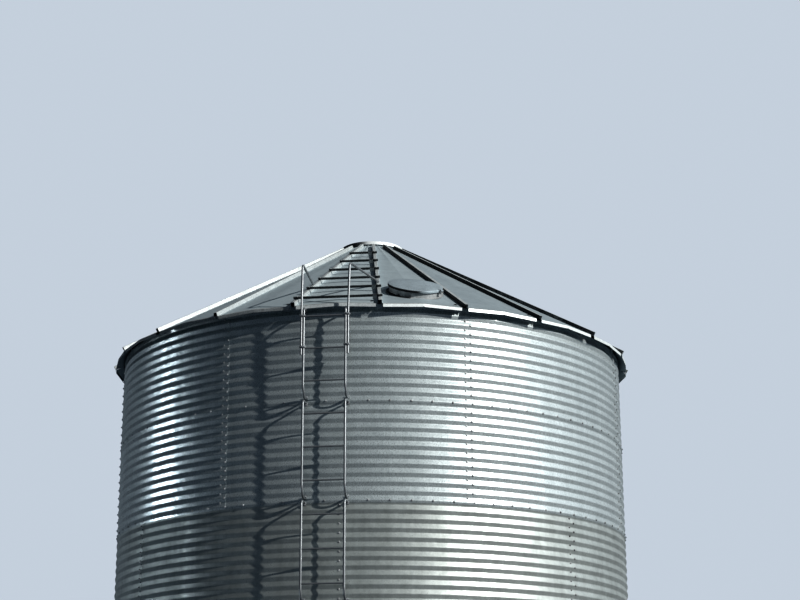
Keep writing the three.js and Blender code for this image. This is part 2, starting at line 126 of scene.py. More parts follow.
class Socket:
    """One output of a shader node, which Python's operators can work with."""

    def __init__(self, tree, output):
        self.tree = tree
        self.output = output

    def node(self, kind, values=(), output=0, stops=(), **settings):
        """Adds a node: settings first, then values or links by socket."""
        made = self.tree.nodes.new("ShaderNode" + kind)
        for name, value in settings.items():
            setattr(made, name, value)
        for _ in stops[2:]:
            made.color_ramp.elements.new(0.5)
        for number, (place, shade) in enumerate(stops):
            made.color_ramp.elements[number].position = place
            made.color_ramp.elements[number].color = (shade, shade, shade, 1.0)
        for key, value in dict(values).items():
            if isinstance(value, Socket):
                self.tree.links.new(value.output, made.inputs[key])
            else:
                made.inputs[key].default_value = value
        return Socket(self.tree, made.outputs[output])

    __add__ = __radd__ = operator("ADD")
    __mul__ = __rmul__ = operator("MULTIPLY")
    __sub__ = operator("SUBTRACT")
    __rsub__ = operator("SUBTRACT", swapped=True)
    __pow__ = operator("POWER")
    at_least = operator("MAXIMUM")
    at_most = operator("MINIMUM")

    def clipped(self, low=0.0, high=1.0):
        """The value held between two limits."""
        return self.at_least(low).at_most(high)

    def ramp(self, stops):
        """Grey levels blended between (place, shade) stops."""
        return self.node("ValToRGB", {0: self}, stops=stops)

    def blend(self, first, second):
        """A colour that goes from the first to the second as the value rises."""
        return self.node("Mix", {"Factor": self, 6: first, 7: second},
                         output=2, data_type="RGBA")


print("a Socket has", [name for name in vars(Socket) if name[0] != "_"])

# %% [markdown]
# ## Light and floor
#
# Galvanised steel shows what is around it more than its own colour, so most of
# this light is in the world, as in a studio tent: soft and pale to the right,
# dim to the left and behind, dark below. Far to the left, just under the horizon,
# lies one small bright patch: the lower flank of each wave mirrors it, which
# draws the row of bright strokes near the wall's left edge. One low sun from the
# right draws the ladder's shadow.
#
# A Light Path node tells rays apart. The camera sees a plain pale background,
# the steel's mirror rays see the tent, and its scattered rays see a weaker tent,
# which keeps the shadows deep. The floor is left out of the steel's reflections,
# because it would light the underside of each wave and wash the bands out.

# %% Sun, world and floor
SUN_TURN = radians(60.8)
SUN_HEIGHT = radians(24.4)
SUN_STRENGTH = 2.75
SUN_SIZE = radians(0.8)
SUN_COLOUR = (1.0, 0.97, 0.92)
BACKGROUND = (0.43, 0.475, 0.53, 1.0)
# The sky's shades by height: 0 is straight down, 0.5 level, 1 straight up.
TENT_SHADES = [(0.0, 0.006), (0.48, 0.008), (0.515, 0.30), (0.60, 0.27), (0.78, 0.24),
               (0.88, 0.20), (1.0, 0.03)]
# A share and a least value for red, green and blue.
TENT_TINT = [(0.92, 0.004), (1.0, 0.014), (1.05, 0.030)]
DIM_LEFT, DIM_BEHIND, DIM_SCATTERED = 0.80, 0.8, 0.6
# Patches: turn from the camera, height, spread, how tall, and the level.
SKY_PATCHES = [(89.76, 33, 40, 1.0, 0.50), (180, 6, 34, 1.0, 0.08)]
GROUND_PATCHES = [(-104, -22, 26, 1.5, 0.50), (38, -14, 34, 1.0, 0.05)]
BRIGHT_PATCH = (-104, -15.5, 5.9, 2.2)
BRIGHT_LEVEL = 29.0
GROUND_LEVEL = 0.030
EDGE_ABOVE, EDGE_BELOW = 8.0, -15.0
FLOOR_COLOUR = (0.72, 0.72, 0.70, 1.0)
FLOOR_ROUGHNESS = 0.9
FLOOR_REACH = 300.0


def facing(turn, height=0.0):
    """The unit vector towards a turn and a height angle:
    (sin t cos h, -cos t cos h, sin h)."""
    return np.array([sin(turn) * cos(height), -cos(turn) * cos(height), sin(height)])


to_sun = facing(SUN_TURN, SUN_HEIGHT)
beside_sun = np.cross([0.0, 0.0, 1.0], to_sun)
beside_sun /= np.linalg.norm(beside_sun)
sun = stand("sun", bpy.data.lights.new("sun", "SUN"),
            [beside_sun, np.cross(to_sun, beside_sun), to_sun, np.zeros(3)])
sun.data.energy = SUN_STRENGTH
sun.data.angle = SUN_SIZE
sun.data.color = SUN_COLOUR

world = bpy.data.worlds.new("tent")
world.use_nodes = True
bpy.context.scene.world = world
tree = world.node_tree
way = Socket(tree, tree.nodes.new("ShaderNodeTexCoord").outputs["Generated"])
height = way.node("SeparateXYZ", {0: way}, output=2)


def glow(turn, height_angle, spread, tall=1.0):
    """A soft patch of light, its turn in degrees from the camera: the cosine of
    the angle to its middle, raised to the power 2 / spread squared, which falls
    off as a bell. A tall patch is measured in a space that is pressed flat."""
    press = np.array([1.0, 1.0, 1.0 / tall])
    middle = facing(CAMERA_TURN + radians(turn), radians(height_angle)) * press
    middle /= np.linalg.norm(middle)
    pressed = way.node("VectorMath", {0: way, 1: press.tolist()}, operation="MULTIPLY")
    pressed = way.node("VectorMath", {0: pressed}, operation="NORMALIZE")
    towards = way.node("VectorMath", {0: pressed, 1: middle.tolist()}, output=1,
                       operation="DOT_PRODUCT")
    return towards.clipped() ** (2.0 / radians(spread) ** 2)


tent = (height.clipped(-1, 1) * 0.5 + 0.5).ramp(TENT_SHADES)
dim = 1.0 - (glow(-60, 24, 52) * 1.3).clipped() * DIM_LEFT
dim_behind = 1.0 - glow(180, 40, 60) * DIM_BEHIND
above_horizon = sum(glow(*place) * level for *place, level in SKY_PATCHES)
below_horizon = sum(glow(*place) * level for *place, level in GROUND_PATCHES)
below_horizon += (glow(*BRIGHT_PATCH) * 2.2).clipped() * BRIGHT_LEVEL + GROUND_LEVEL
tent = (tent * dim * dim_behind + above_horizon * (height * EDGE_ABOVE).clipped()
        + below_horizon * (height * EDGE_BELOW).clipped())
colour = tent.node("CombineXYZ", {axis: tent * share + least
                                  for axis, (share, least) in enumerate(TENT_TINT)})
rays = tree.nodes.new("ShaderNodeLightPath").outputs
scattered = Socket(tree, rays["Is Diffuse Ray"])
for_steel = way.node("Background", {0: colour, 1: 1.0 - scattered * DIM_SCATTERED})
for_camera = way.node("Background", {0: BACKGROUND, 1: 1.0})
shown = way.node("MixShader", {0: Socket(tree, rays["Is Camera Ray"]), 1: for_steel,
                               2: for_camera})
tree.links.new(shown.output, tree.nodes["World Output"].inputs[0])

corners = [(x * FLOOR_REACH, y * FLOOR_REACH, 0) for x, y in ((-1, -1), (1, -1), (1, 1), (-1, 1))]
floor_mesh = bpy.data.meshes.new("studio_floor")
floor_mesh.from_pydata(corners, [], [(0, 1, 2, 3)])
floor_paint = bpy.data.materials.new("floor_paint")
floor_paint.use_nodes = True
paint_inputs = floor_paint.node_tree.nodes["Principled BSDF"].inputs
paint_inputs["Base Color"].default_value = FLOOR_COLOUR
paint_inputs["Roughness"].default_value = FLOOR_ROUGHNESS
floor_mesh.materials.append(floor_paint)
studio_floor = bpy.data.objects.new("studio_floor", floor_mesh)
studio_floor.visible_glossy = False
studio_floor.visible_diffuse = False
bpy.context.collection.objects.link(studio_floor)
print("sun from", np.round(to_sun, 2))

# %% [markdown]
# ## Meshes from whole arrays
#
# Every piece is made of closed parts: a folded sheet with its thickness, a tube,
# a turned cap, or a few hundred bolts. Each is worked out as arrays of points
# and faces at once, never point by point, which keeps the script fast. A part is
# a pair (points, faces), where faces is a list of arrays, one array for each
# number of corners.

# %% Faces of a grid
def grid_faces(rows, columns, wrap_columns=False, wrap_rows=False):
    """Each face joins point (i, j) to (i, j+1), (i+1, j+1) and (i+1, j).
    A wrapped grid joins its last row or column to its first."""
    i = np.arange(rows if wrap_rows else rows - 1)[:, None]
    j = np.arange(columns if wrap_columns else columns - 1)[None, :]
    below, beside = (i + 1) % rows * columns, (j + 1) % columns
    corners = [i * columns + j, i * columns + beside, below + beside, below + j]
    return np.stack(np.broadcast_arrays(*corners), -1).reshape(-1, 4)


def strip_faces(first, second):
    """Quads between two equally long rows of point numbers."""
    return np.stack([first[:-1], first[1:], second[1:], second[:-1]], -1)


def sheet(outer, inner, wrap=False):
    """A closed sheet between two grids of points of the same shape. The rim is
    closed by strips between the edges of the two grids."""
    rows, columns = outer.shape[:2]
    count = rows * columns
    number = np.arange(count).reshape(rows, columns)
    if wrap:
        number = np.concatenate([number, number[:, :1]], 1)
    faces = grid_faces(rows, columns, wrap)
    rims = [number[0], number[-1][::-1]]
    if not wrap:
        rims += [number[:, 0][::-1], number[:, -1]]
    walls = [strip_faces(rim[::-1], rim[::-1] + count) for rim in rims]
    points = np.concatenate([outer.reshape(-1, 3), inner.reshape(-1, 3)])
    return points, [np.concatenate([faces, faces[:, ::-1] + count, *walls])]


def tube(rings):
    """A closed bar through a row of rings of points, with flat end faces."""
    rows, columns = rings.shape[:2]
    first = np.arange(columns)[None, ::-1]
    last = np.arange(columns)[None, :] + (rows - 1) * columns
    return rings.reshape(-1, 3), [grid_faces(rows, columns, True), first, last]


print("a 4 by 5 grid has", len(grid_faces(4, 5)), "faces")

# %% Turned shapes
def circle(sides):
    """Points of the unit circle at equal angles, the first of them on x."""
    angle = 2 * pi * np.arange(sides) / sides
    return np.stack([np.cos(angle), np.sin(angle)], -1)


def turned(profile, sides, closed_loop=False):
    """Each (radius, height) of the profile swept round the z axis. A loop closes
    on itself, as for a ring; otherwise both ends lie on the axis, and a fan of
    triangles closes each pole."""
    profile = np.asarray(profile, float)
    body = profile if closed_loop else profile[1:-1]
    grid = np.empty((len(body), sides, 3))
    grid[..., :2] = body[:, None, :1] * circle(sides)
    grid[..., 2] = body[:, 1:]
    points = grid.reshape(-1, 3)
    if closed_loop:
        return points, [grid_faces(len(body), sides, True, True)]
    count = len(points)
    poles = [[0, 0, profile[0, 1]], [0, 0, profile[-1, 1]]]
    around = np.arange(sides)
    after = (around + 1) % sides
    last = count - sides
    fans = np.concatenate([
        np.stack([np.full(sides, count), after, around], -1),
        np.stack([np.full(sides, count + 1), last + around, last + after], -1)])
    return np.concatenate([points, poles]), [grid_faces(len(body), sides, True), fans]


def placed(parts, origin, axes):
    """Parts moved into a frame: origin + x X + y Y + z Z."""
    return [(np.asarray(origin) + points @ np.stack(axes), faces) for points, faces in parts]


def swung_parts(parts, turn):
    """Parts turned about the silo's axis."""
    return [(swung(points, turn), faces) for points, faces in parts]


def all_points(parts):
    """The points of all parts, one after the other."""
    return np.concatenate([points for points, _ in parts])


def turns_of(points):
    """The turn of each point in degrees, from -180 to 180."""
    return np.degrees(np.arctan2(points[..., 0], -points[..., 1]))


print("a turned cap has", len(turned([(0, 1), (1, 0), (0, -1)], 24)[0]), "points")

# %% Parts into a piece
SHARP_ANGLE = radians(38)
totals = {}


def signed_volume(points, faces):
    """The sum of a . (b x c) / 6 over each face's fan of triangles."""
    total = 0.0
    for block in faces:
        for k in range(1, block.shape[1] - 1):
            a, b, c = points[block[:, 0]], points[block[:, k]], points[block[:, k + 1]]
            total += np.einsum("ij,ij->", a, np.cross(b, c)) / 6
    return total


def outwards(part):
    """The same part with its faces pointing out of it."""
    points, faces = part
    if signed_volume(points - points.mean(0), faces) < 0:
        faces = [block[:, ::-1] for block in faces]
    return points, faces


def make_piece(name, parts, material, nodes=(), body="bin",
               tones=None, second=(None, ())):
    """One object from many closed parts. It rides on a body and hides the plain
    nodes that it stands for. The attribute "tone" holds a value for each point.
    `second` is another material and the parts that are made of it."""
    layers = [0] * len(parts) + [1] * len(second[1])
    parts = [outwards(part) for part in [*parts, *second[1]]]
    starts = np.cumsum([0] + [len(points) for points, _ in parts])
    blocks = [(block + start, number) for (_, faces), start, number in zip(parts, starts, layers)
              for block in faces]
    layer = np.concatenate([np.full(len(block), number) for block, number in blocks])
    sizes = np.concatenate([np.full(len(block), block.shape[1]) for block, _ in blocks])
    corners = np.concatenate([block.ravel() for block, _ in blocks])
    points = all_points(parts)
    mesh = bpy.data.meshes.new(name)
    mesh.vertices.add(len(points))
    mesh.vertices.foreach_set("co", points.ravel())
    mesh.loops.add(len(corners))
    mesh.loops.foreach_set("vertex_index", corners)
    mesh.polygons.add(len(sizes))
    mesh.polygons.foreach_set("loop_start", np.cumsum(sizes) - sizes)
    mesh.update(calc_edges=True)
    mesh.polygons.foreach_set("use_smooth", np.ones(len(sizes), bool))
    mesh.set_sharp_from_angle(angle=SHARP_ANGLE)
    tone = mesh.attributes.new("tone", "FLOAT", "POINT")
    tone.data.foreach_set("value", np.zeros(len(points)) if tones is None else tones)
    mesh.polygons.foreach_set("material_index", layer)
    for paint in (material, second[0]):
        if paint:
            mesh.materials.append(paint)
    made = bpy.data.objects.new(name, mesh)
    bpy.context.collection.objects.link(made)
    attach(made, body)
    if nodes:
        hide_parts(*nodes)
    totals[name] = int((sizes - 2).sum())


print("edges sharper than", round(np.degrees(SHARP_ANGLE)), "degrees stay sharp")

# %% [markdown]
# ## Galvanised steel
#
# Zinc freezes on hot steel in crystals, the spangle, a centimetre or so across.
# Each crystal is a little lighter or darker than the next. With years outdoors it
# dulls in clouds, and rain draws faint upright streaks. None of that is strong:
# the steel still reads as one metal from a few metres off, so every step here is
# a small shift of colour and roughness.
#
# The piece's own attribute, "tone", shifts a part towards its light or its dark
# colour: a paler sheet, a shaded groove, or painted light and painted shade,
# where a side that faces the sun is painted brighter and one that faces away
# is painted dark. Where old zinc has gone chalky, a light tone also makes it
# rougher, which blurs what it mirrors.

# %% The zinc finish
SPANGLE_SCALE = 85.0
GRAIN_SCALE = 230.0
CLOUD_SCALE = 3.2
FINE_SCALE = 14.0
STREAK_SCALE = (11.0, 11.0, 0.5)
CHALK_START = 0.15
RELIEF_DISTANCE = 0.01
RELIEF_STRENGTH = 0.3


def zinc(name, light, dark, metallic, roughness, clouds=0.5, streaks=0.4, spangle=0.2,
         spread=0.1, chalk=0.0):
    """Steel whose colour goes from dark to light with three masks and the tone:
    spangle from Voronoi cells, clouds from noise, and streaks from noise squeezed
    in x and y. `spread` varies the roughness from grain to grain."""
    material = bpy.data.materials.new(name)
    material.use_nodes = True
    tree = material.node_tree
    surface = tree.nodes["Principled BSDF"].inputs
    place = Socket(tree, tree.nodes.new("ShaderNodeTexCoord").outputs["Object"])

    def cells(scale):
        shades = place.node("TexVoronoi", {"Vector": place, "Scale": scale}, output="Color")
        return place.node("SeparateXYZ", {0: shades})

    crystal, grain = cells(SPANGLE_SCALE), cells(GRAIN_SCALE)
    cloud = place.node("TexNoise", {"Vector": place, "Scale": CLOUD_SCALE, "Detail": 5.0,
                                    "Roughness": 0.62})
    fine = place.node("TexNoise", {"Vector": place, "Scale": FINE_SCALE, "Detail": 4.0})
    drawn = place.node("Mapping", {"Vector": place, "Scale": STREAK_SCALE})
    streak = place.node("TexNoise", {"Vector": drawn, "Scale": 1.0, "Detail": 4.0})
    tone = place.node("Attribute", output="Fac", attribute_name="tone")
    shade = (0.5 + (crystal - 0.5) * spangle + (cloud - 0.5) * (clouds * 2.2)
             + (streak - 0.5) * (streaks * 2.0) + (fine - 0.5) * clouds + tone).clipped()
    rough = roughness + spread * (grain - 0.5) + 0.10 * (0.5 - shade)
    if chalk:
        rough = rough + (tone - CHALK_START).clipped() * chalk
    bump = place.node("Bump", {"Height": fine * 0.35 + cloud, "Distance": RELIEF_DISTANCE,
                               "Strength": RELIEF_STRENGTH})
    paint = shade.blend(dark + (1.0,), light + (1.0,))
    for key, value in (("Base Color", paint), ("Roughness", rough.clipped(0.15, 0.9)),
                       ("Normal", bump)):
        tree.links.new(value.output, surface[key])
    surface["Metallic"].default_value = metallic
    return material


upper_wall = zinc("upper_wall_zinc", (0.605, 0.665, 0.68), (0.40, 0.45, 0.465), 0.62, 0.43,
                  spread=0.44)
lower_wall = zinc("lower_wall_zinc", (0.56, 0.605, 0.595), (0.345, 0.375, 0.37), 0.66, 0.44,
                  clouds=0.7, spread=0.3, chalk=0.8)
roof_zinc = zinc("roof_zinc", (0.522, 0.605, 0.645), (0.313, 0.37, 0.405), 0.30, 0.60,
                 clouds=0.35, streaks=0.2, spangle=0.15)
# Near white and near black ends, for the painted light and painted shade on the ribs, lips and
# clips.
rib_zinc = zinc("rib_zinc", (0.86, 0.93, 0.95), (0.02, 0.022, 0.026), 0.30, 0.50,
                clouds=0.15, streaks=0.1)
# Its near black end is for the painted shade on the hatch lid's lip.
lid_zinc = zinc("lid_zinc", (0.54, 0.635, 0.695), (0.015, 0.017, 0.02), 0.30, 0.55,
                clouds=0.2, streaks=0.1)
# Pale and near black ends, for the painted light and painted shade on the peak lid's lip and the
# hatch collar.
painted_light_zinc = zinc("painted_light_zinc", (0.90, 0.95, 0.97), (0.015, 0.018, 0.024), 0.15, 0.60,
                   clouds=0.1, streaks=0.1, spangle=0.1)
tube_zinc = zinc("tube_zinc", (0.375, 0.40, 0.42), (0.21, 0.224, 0.24), 0.65, 0.45, streaks=0.1)
# Its dark end is for the painted shade on the roof steps.
step_zinc = zinc("step_zinc", (0.62, 0.66, 0.67), (0.05, 0.055, 0.06), 0.3, 0.6,
                 clouds=0.1, streaks=0.1, spangle=0.1)
# Pale and near black ends, for the bolts' painted glints and painted shade.
bolt_zinc = zinc("bolt_zinc", (0.80, 0.83, 0.85), (0.05, 0.053, 0.056), 0.45, 0.40, streaks=0.0)
print(len(bpy.data.materials), "materials")

# %% [markdown]
# ## Bolts
#
# The sheets are held by some fifteen hundred bolts, each a hexagon head on a round
# washer. One small bolt is drawn as arrays, and copies of it are moved to all
# their places in one multiplication. Real geometry costs few faces here and
# throws the small shadows that a painted dot would not have.

# %% A bolt and rows of bolts
WASHER_RADIUS = 0.012
WASHER_HEIGHT = 0.0022
WASHER_DEPTH = 0.002
HEAD_RADIUS = 0.0085
HEAD_HEIGHT = 0.0065


def closed_cone(rings, sides):
    """Circles of the given (radius, height), closed by flat ends."""
    rings = [np.insert(radius * circle(sides), 2, height, axis=1) for radius, height in rings]
    return outwards(tube(np.array(rings)))


washer = closed_cone([(WASHER_RADIUS, -WASHER_DEPTH), (WASHER_RADIUS, 0.5 * WASHER_HEIGHT),
                      (0.7 * WASHER_RADIUS, WASHER_HEIGHT)], 10)
head = closed_cone([(HEAD_RADIUS, WASHER_HEIGHT), (HEAD_RADIUS, WASHER_HEIGHT + 0.8 * HEAD_HEIGHT),
                    (0.8 * HEAD_RADIUS, WASHER_HEIGHT + HEAD_HEIGHT)], 6)


def repeated(part, places, normals, size):
    """Copies of a small part: place + x X + y Y + z N for each place, where N is
    the way the copy stands, and X and Y are square to it."""
    points, faces = part
    normals = np.asarray(normals, float).reshape(-1, 3)
    normals = normals / np.linalg.norm(normals, axis=1, keepdims=True)
    spare = np.where(np.abs(normals[:, 2:]) > 0.9, [[1.0, 0, 0]], [[0, 0, 1.0]])
    x_axis = np.cross(spare, normals)
    x_axis /= np.linalg.norm(x_axis, axis=1, keepdims=True)
    axes = np.stack([x_axis, np.cross(normals, x_axis), normals], 1)
    copies = np.asarray(places, float).reshape(-1, 1, 3) + size * points @ axes
    shift = len(points) * np.arange(len(normals))[:, None, None]
    return copies.reshape(-1, 3), [(block + shift).reshape(-1, block.shape[1]) for block in faces]


def bolts(places, normals, size=1.0):
    """A washer and a head at each place."""
    return [repeated(part, places, normals, size) for part in (washer, head)]


print("a bolt has", sum(len(block) for part in (washer, head) for block in part[1]), "faces")

# %% [markdown]
# ## The corrugated wall
#
# Each ring is seven sheets, rolled into waves 101.6 mm from crest to crest and
# 12.7 mm deep. Where two sheets meet, one lies over the other, and a ring's foot
# laps over the ring below. The whole ring is one grid: its radius is the wave
# plus small terms for the laps and for dents. A true wave in the mesh is needed,
# because its flanks catch the light as bright and dark bands.
#
# The lower rings are older and duller than the upper two. On the left their
# zinc is paler and rougher, and just beside that a little darker, so their
# tones change with the turn there.

# %% Wall sizes
SHEETS = 7
SHEET_COVER = 2.8734
RING_COUNT = 6
OLD_RINGS = 4
WAVE_PITCH = 0.1016
WAVE_DEPTH = 0.0127
WAVES_PER_RING = 11
RING_HEIGHT = WAVES_PER_RING * WAVE_PITCH
WALL_RADIUS = SHEETS * SHEET_COVER / (2 * pi)
WALL_TOP = RING_COUNT * RING_HEIGHT
SHEET_THICKNESS = 0.0016
SHEET_TURN = 2 * pi / SHEETS
# The turn of each ring's first lap, in degrees.
FIRST_LAP = {6: 27.73, 5: 27.73, 4: 2.04, 3: 27.73, 2: 2.04, 1: 27.73}
LAP_STEP = 0.002
LAP_DEPTH = 0.028
LAP_START = 0.93
RING_LAP_STEP = 1.15 * LAP_STEP
LAP_BLEND = 0.06
FLANK_SLOPE = radians(17)
CREST_RADIUS = 0.031
WAVE_ROWS = np.array([0.0, 0.005, 0.0095])
COLUMNS_PER_SHEET = 21
RIPPLE_SIZE = 0.00035
RIPPLE_FADE = 0.1
RIPPLE_WAVES = (18, 70)
RIPPLE_COUNT = 9
RIPPLE_CLIMB = 9
RIPPLE_SHARE = 14.0
SHEET_TONE_SPREAD = 0.12
WALL_SEED = 11
# Each dent: turn in degrees, height, reach and depth.
DENTS = [(5.5, 4.312, 0.05, 0.004), (13.69, 4.184, 0.045, 0.004), (54.97, 4.849, 0.04, 0.004),
         (-9.26, 6.187, 0.02, 0.006), (-33.0, 5.1, 0.12, 0.006), (49.5, 5.15, 0.05, 0.003)]
# Turns in degrees, and the tone that the old sheets have there.
OLD_TONES = ((-110, -80, -46, -36, -30, -25, -17), (0.0, 0.33, 0.33, 0.30, -0.15, -0.2, 0.0))


def smooth_step(value):
    """0 below 0, 1 above 1, and 3v^2 - 2v^3 between."""
    value = np.clip(value, 0, 1)
    return value * value * (3 - 2 * value)


def wave_radius(z):
    """Arc and tangent: round crests and valleys joined by straight flanks. With t
    the distance to the nearest crest or valley, the offset from the middle is
    A - R + sqrt(R^2 - t^2) on the arc and (p/4 - t) tan f on the flank, positive
    round a crest and negative round a valley. A crest stands on every seam."""
    from_crest = np.abs(np.mod(z / WAVE_PITCH + 0.5, 1) - 0.5) * WAVE_PITCH
    quarter = WAVE_PITCH / 4
    t = np.minimum(from_crest, 2 * quarter - from_crest)
    arc_height = np.sqrt(CREST_RADIUS ** 2 - np.minimum(t, CREST_RADIUS) ** 2)
    offset = np.where(t < CREST_RADIUS * sin(FLANK_SLOPE),
                      WAVE_DEPTH / 2 - CREST_RADIUS + arc_height, (quarter - t) * tan(FLANK_SLOPE))
    return WALL_RADIUS + np.sign(quarter - from_crest) * offset


def wave_heights():
    """Rows of points where the wave bends: at crests and valleys and on both
    sides of them, from one wave below the ring's seam to its top."""
    extremes = WAVE_PITCH / 2 * np.arange(-2, 2 * WAVES_PER_RING + 1)
    around = np.concatenate([-WAVE_ROWS[:0:-1], WAVE_ROWS])
    return (extremes[:, None] + around).ravel()


def ripples(turn, z, seed):
    """Soft unevenness of rolled sheet: a sum of sines of whole numbers of waves
    round the ring, each with its own phase and share of height."""
    random = np.random.default_rng(seed)
    total = np.zeros(np.broadcast(turn, z).shape)
    for count in random.integers(*RIPPLE_WAVES, RIPPLE_COUNT):
        phase, climb = random.uniform(0, 2 * pi), random.uniform(-RIPPLE_CLIMB, RIPPLE_CLIMB)
        total += np.sin(count * turn + climb * z + phase) * RIPPLE_SHARE / count
    return total


print("wall radius", round(WALL_RADIUS, 4), "top", round(WALL_TOP, 4))

# %% A ring of sheets
def ring_grid(number):
    """Turns, heights and radii of ring `number`, counted from the ground. At each
    lap the column of points is doubled, once at the end of the upper sheet and
    once on the sheet below it, which makes the lap's small step."""
    base = (number - 1) * RING_HEIGHT
    low = base - LAP_DEPTH if number > 1 else 0.0
    z = base + wave_heights()
    z = np.concatenate([[low], z[(z > low) & (z <= base + RING_HEIGHT)]])[:, None]
    share = np.linspace(0, 1, COLUMNS_PER_SHEET + 1)
    start = radians(FIRST_LAP[number]) + SHEET_TURN * np.arange(SHEETS)
    turn = (start[:, None] + share * SHEET_TURN).reshape(1, -1)
    lift = np.tile(smooth_step((share - LAP_START) / (1 - LAP_START)), SHEETS) * LAP_STEP
    under_next = smooth_step((base + RING_HEIGHT - z) / LAP_BLEND)
    radius = wave_radius(z) + lift * under_next
    if number > 1:
        radius = radius + smooth_step(1 - (z - base) / WAVE_PITCH) * RING_LAP_STEP
    waviness = smooth_step((z - base) / RIPPLE_FADE) * under_next
    radius = radius + RIPPLE_SIZE * ripples(turn, z, number) * waviness
    for middle, height, reach, depth in DENTS:
        sideways = WALL_RADIUS * (np.mod(turn - radians(middle) + pi, 2 * pi) - pi)
        radius = radius - depth * np.exp(-(np.hypot(sideways, z - height) / reach) ** 2)
    return turn, z, radius


def wall_points(turn, z, radius):
    """(r sin t, -r cos t, z) for arrays of turns, heights and radii."""
    turn, z, radius = np.broadcast_arrays(turn, z, radius)
    return np.stack([radius * np.sin(turn), -radius * np.cos(turn), z], -1)


def ring_piece(number, random):
    """One ring. Each sheet has its own tone, drawn at random."""
    turn, z, radius = ring_grid(number)
    outer = wall_points(turn, z, radius)
    inner = wall_points(turn, z, radius - SHEET_THICKNESS)
    tones = random.uniform(-SHEET_TONE_SPREAD, SHEET_TONE_SPREAD, SHEETS)
    tones = np.repeat(tones, COLUMNS_PER_SHEET + 1)
    if number <= OLD_RINGS:
        tones = tones + np.interp(turns_of(outer[0]), *OLD_TONES)
    make_piece(f"wall_sheets_{number}", [sheet(outer, inner, wrap=True)],
               upper_wall if number > OLD_RINGS else lower_wall, [f"wall_ring_{number}"],
               tones=np.tile(tones, 2 * len(z)))


random = np.random.default_rng(WALL_SEED)
for number in range(1, RING_COUNT + 1):
    ring_piece(number, random)
print("a ring has", totals["wall_sheets_1"], "triangles")

# %% Bolts in the wall
SEAM_BOLTS = 84
SEAM_TURNS = radians(6.30) + 2 * pi * np.arange(SEAM_BOLTS) / SEAM_BOLTS
LAP_BOLT_INSETS = (0.016, 0.078)
LOWEST_LAP_BOLT = 0.04
WALL_BOLT_SIZE = 1.05
# Turns in degrees, and the tone of the bolts there: painted light, pale glints on
# the shaded left, and painted shade, dark, on the sunlit right.
BOLT_PAINTED_LIGHT = ((-120, -20, 0, 60, 150), (0.2, 0.25, 0.0, -0.22, 0.1))


def ring_bolts(number):
    """The row at the ring's foot, on the crest of the seam, and two staggered
    columns at each lap: one on the crests and one in the valleys."""
    base = (number - 1) * RING_HEIGHT
    rows = []
    if number > 1:
        rows.append(wall_points(SEAM_TURNS, base, wave_radius(base) + RING_LAP_STEP))
    lap = radians(FIRST_LAP[number]) + SHEET_TURN * np.arange(SHEETS)
    for inset, shift in zip(LAP_BOLT_INSETS, (0.0, 0.5)):
        z = base + WAVE_PITCH * (np.arange(WAVES_PER_RING) + shift)
        z = z[z > base + LOWEST_LAP_BOLT]
        grid = wall_points(lap[:, None] - inset / WALL_RADIUS, z, wave_radius(z) + LAP_STEP)
        rows.append(grid.reshape(-1, 3))
    places = np.concatenate(rows)
    parts = bolts(places, places * [1, 1, 0], WALL_BOLT_SIZE)
    make_piece(f"wall_bolts_{number}", parts, bolt_zinc,
               tones=np.interp(turns_of(all_points(parts)), *BOLT_PAINTED_LIGHT))


for number in range(1, RING_COUNT + 1):
    ring_bolts(number)
print("a ring's bolts have", totals["wall_bolts_2"], "triangles")

# %% [markdown]
# ## The roof
#
# Twenty-one panels make the cone. Each is a flat tapering sheet with a slight fold
# down its middle, its eave edge turned down into a lip, and an upturned channel,
# the rib, over the joint with its neighbour. The sheet is drawn from its plan: the
# height at any (x, y) follows from the slope, so the same function serves the
# plain panels and the one with the hatch's hole.
#
# The slope here is a little less than the plain solid's 30 degrees, because the
# photograph's outline reads so. The difference stays within a few centimetres.

# %% Roof sizes and the panel's height
PANELS = 21
PANEL_TURN = 2 * pi / PANELS
HALF_PANEL = PANEL_TURN / 2
QUARTER_PANEL = HALF_PANEL / 2
SLOPE = radians(29.83)
EAVE_RADIUS = WALL_RADIUS + 0.122
EAVE_HEIGHT = WALL_TOP - 0.03468
PANEL_TOP_RADIUS = 0.375
PANEL_THICKNESS = 0.002
JOINT_GAP = 0.0006
FOLD_RISE = 0.009
FOLD_INSET = 0.0185
PLEAT_HEIGHT = 0.0035
PLEAT_MIDDLE = 0.45
PLEAT_REACH = 0.8
HATCH_PANEL = 1
HATCH_PLACE = 2.8
HATCH_RADIUS = 0.300


def cone_height(radius):
    """The height of the plain cone at a distance from the axis."""
    return EAVE_HEIGHT + (EAVE_RADIUS - radius) * tan(SLOPE)


def panel_height(x, y):
    """The panel's halves are flat and meet in a raised fold, so the height falls
    with the distance d = -y cos q + |x| sin q along the half's own direction,
    where q is a quarter of the panel's turn, and rises towards the fold. Shallow
    pleats fade out below the peak."""
    radius = -y + np.abs(x) * tan(QUARTER_PANEL)
    spread = np.arctan2(x, -y) / HALF_PANEL
    fade = np.exp(-((radius - PLEAT_MIDDLE) / PLEAT_REACH) ** 2)
    pleat = PLEAT_HEIGHT * np.cos(3 * pi * spread) * fade
    fold = FOLD_RISE * (1 - np.abs(spread)) * radius / EAVE_RADIUS
    return cone_height(radius) + fold + pleat * smooth_step((1 - np.abs(spread)) / 0.1)


def panel_sheet(x, y, wrap=False):
    """The sheet over a plan, its underside one thickness lower, square to the slope."""
    top = np.stack([x, y, panel_height(x, y)], -1)
    normal = np.array([0.0, -sin(SLOPE), cos(SLOPE)])
    return sheet(top, top - PANEL_THICKNESS * normal, wrap)


print("peak of the cone", round(cone_height(0.0), 3))

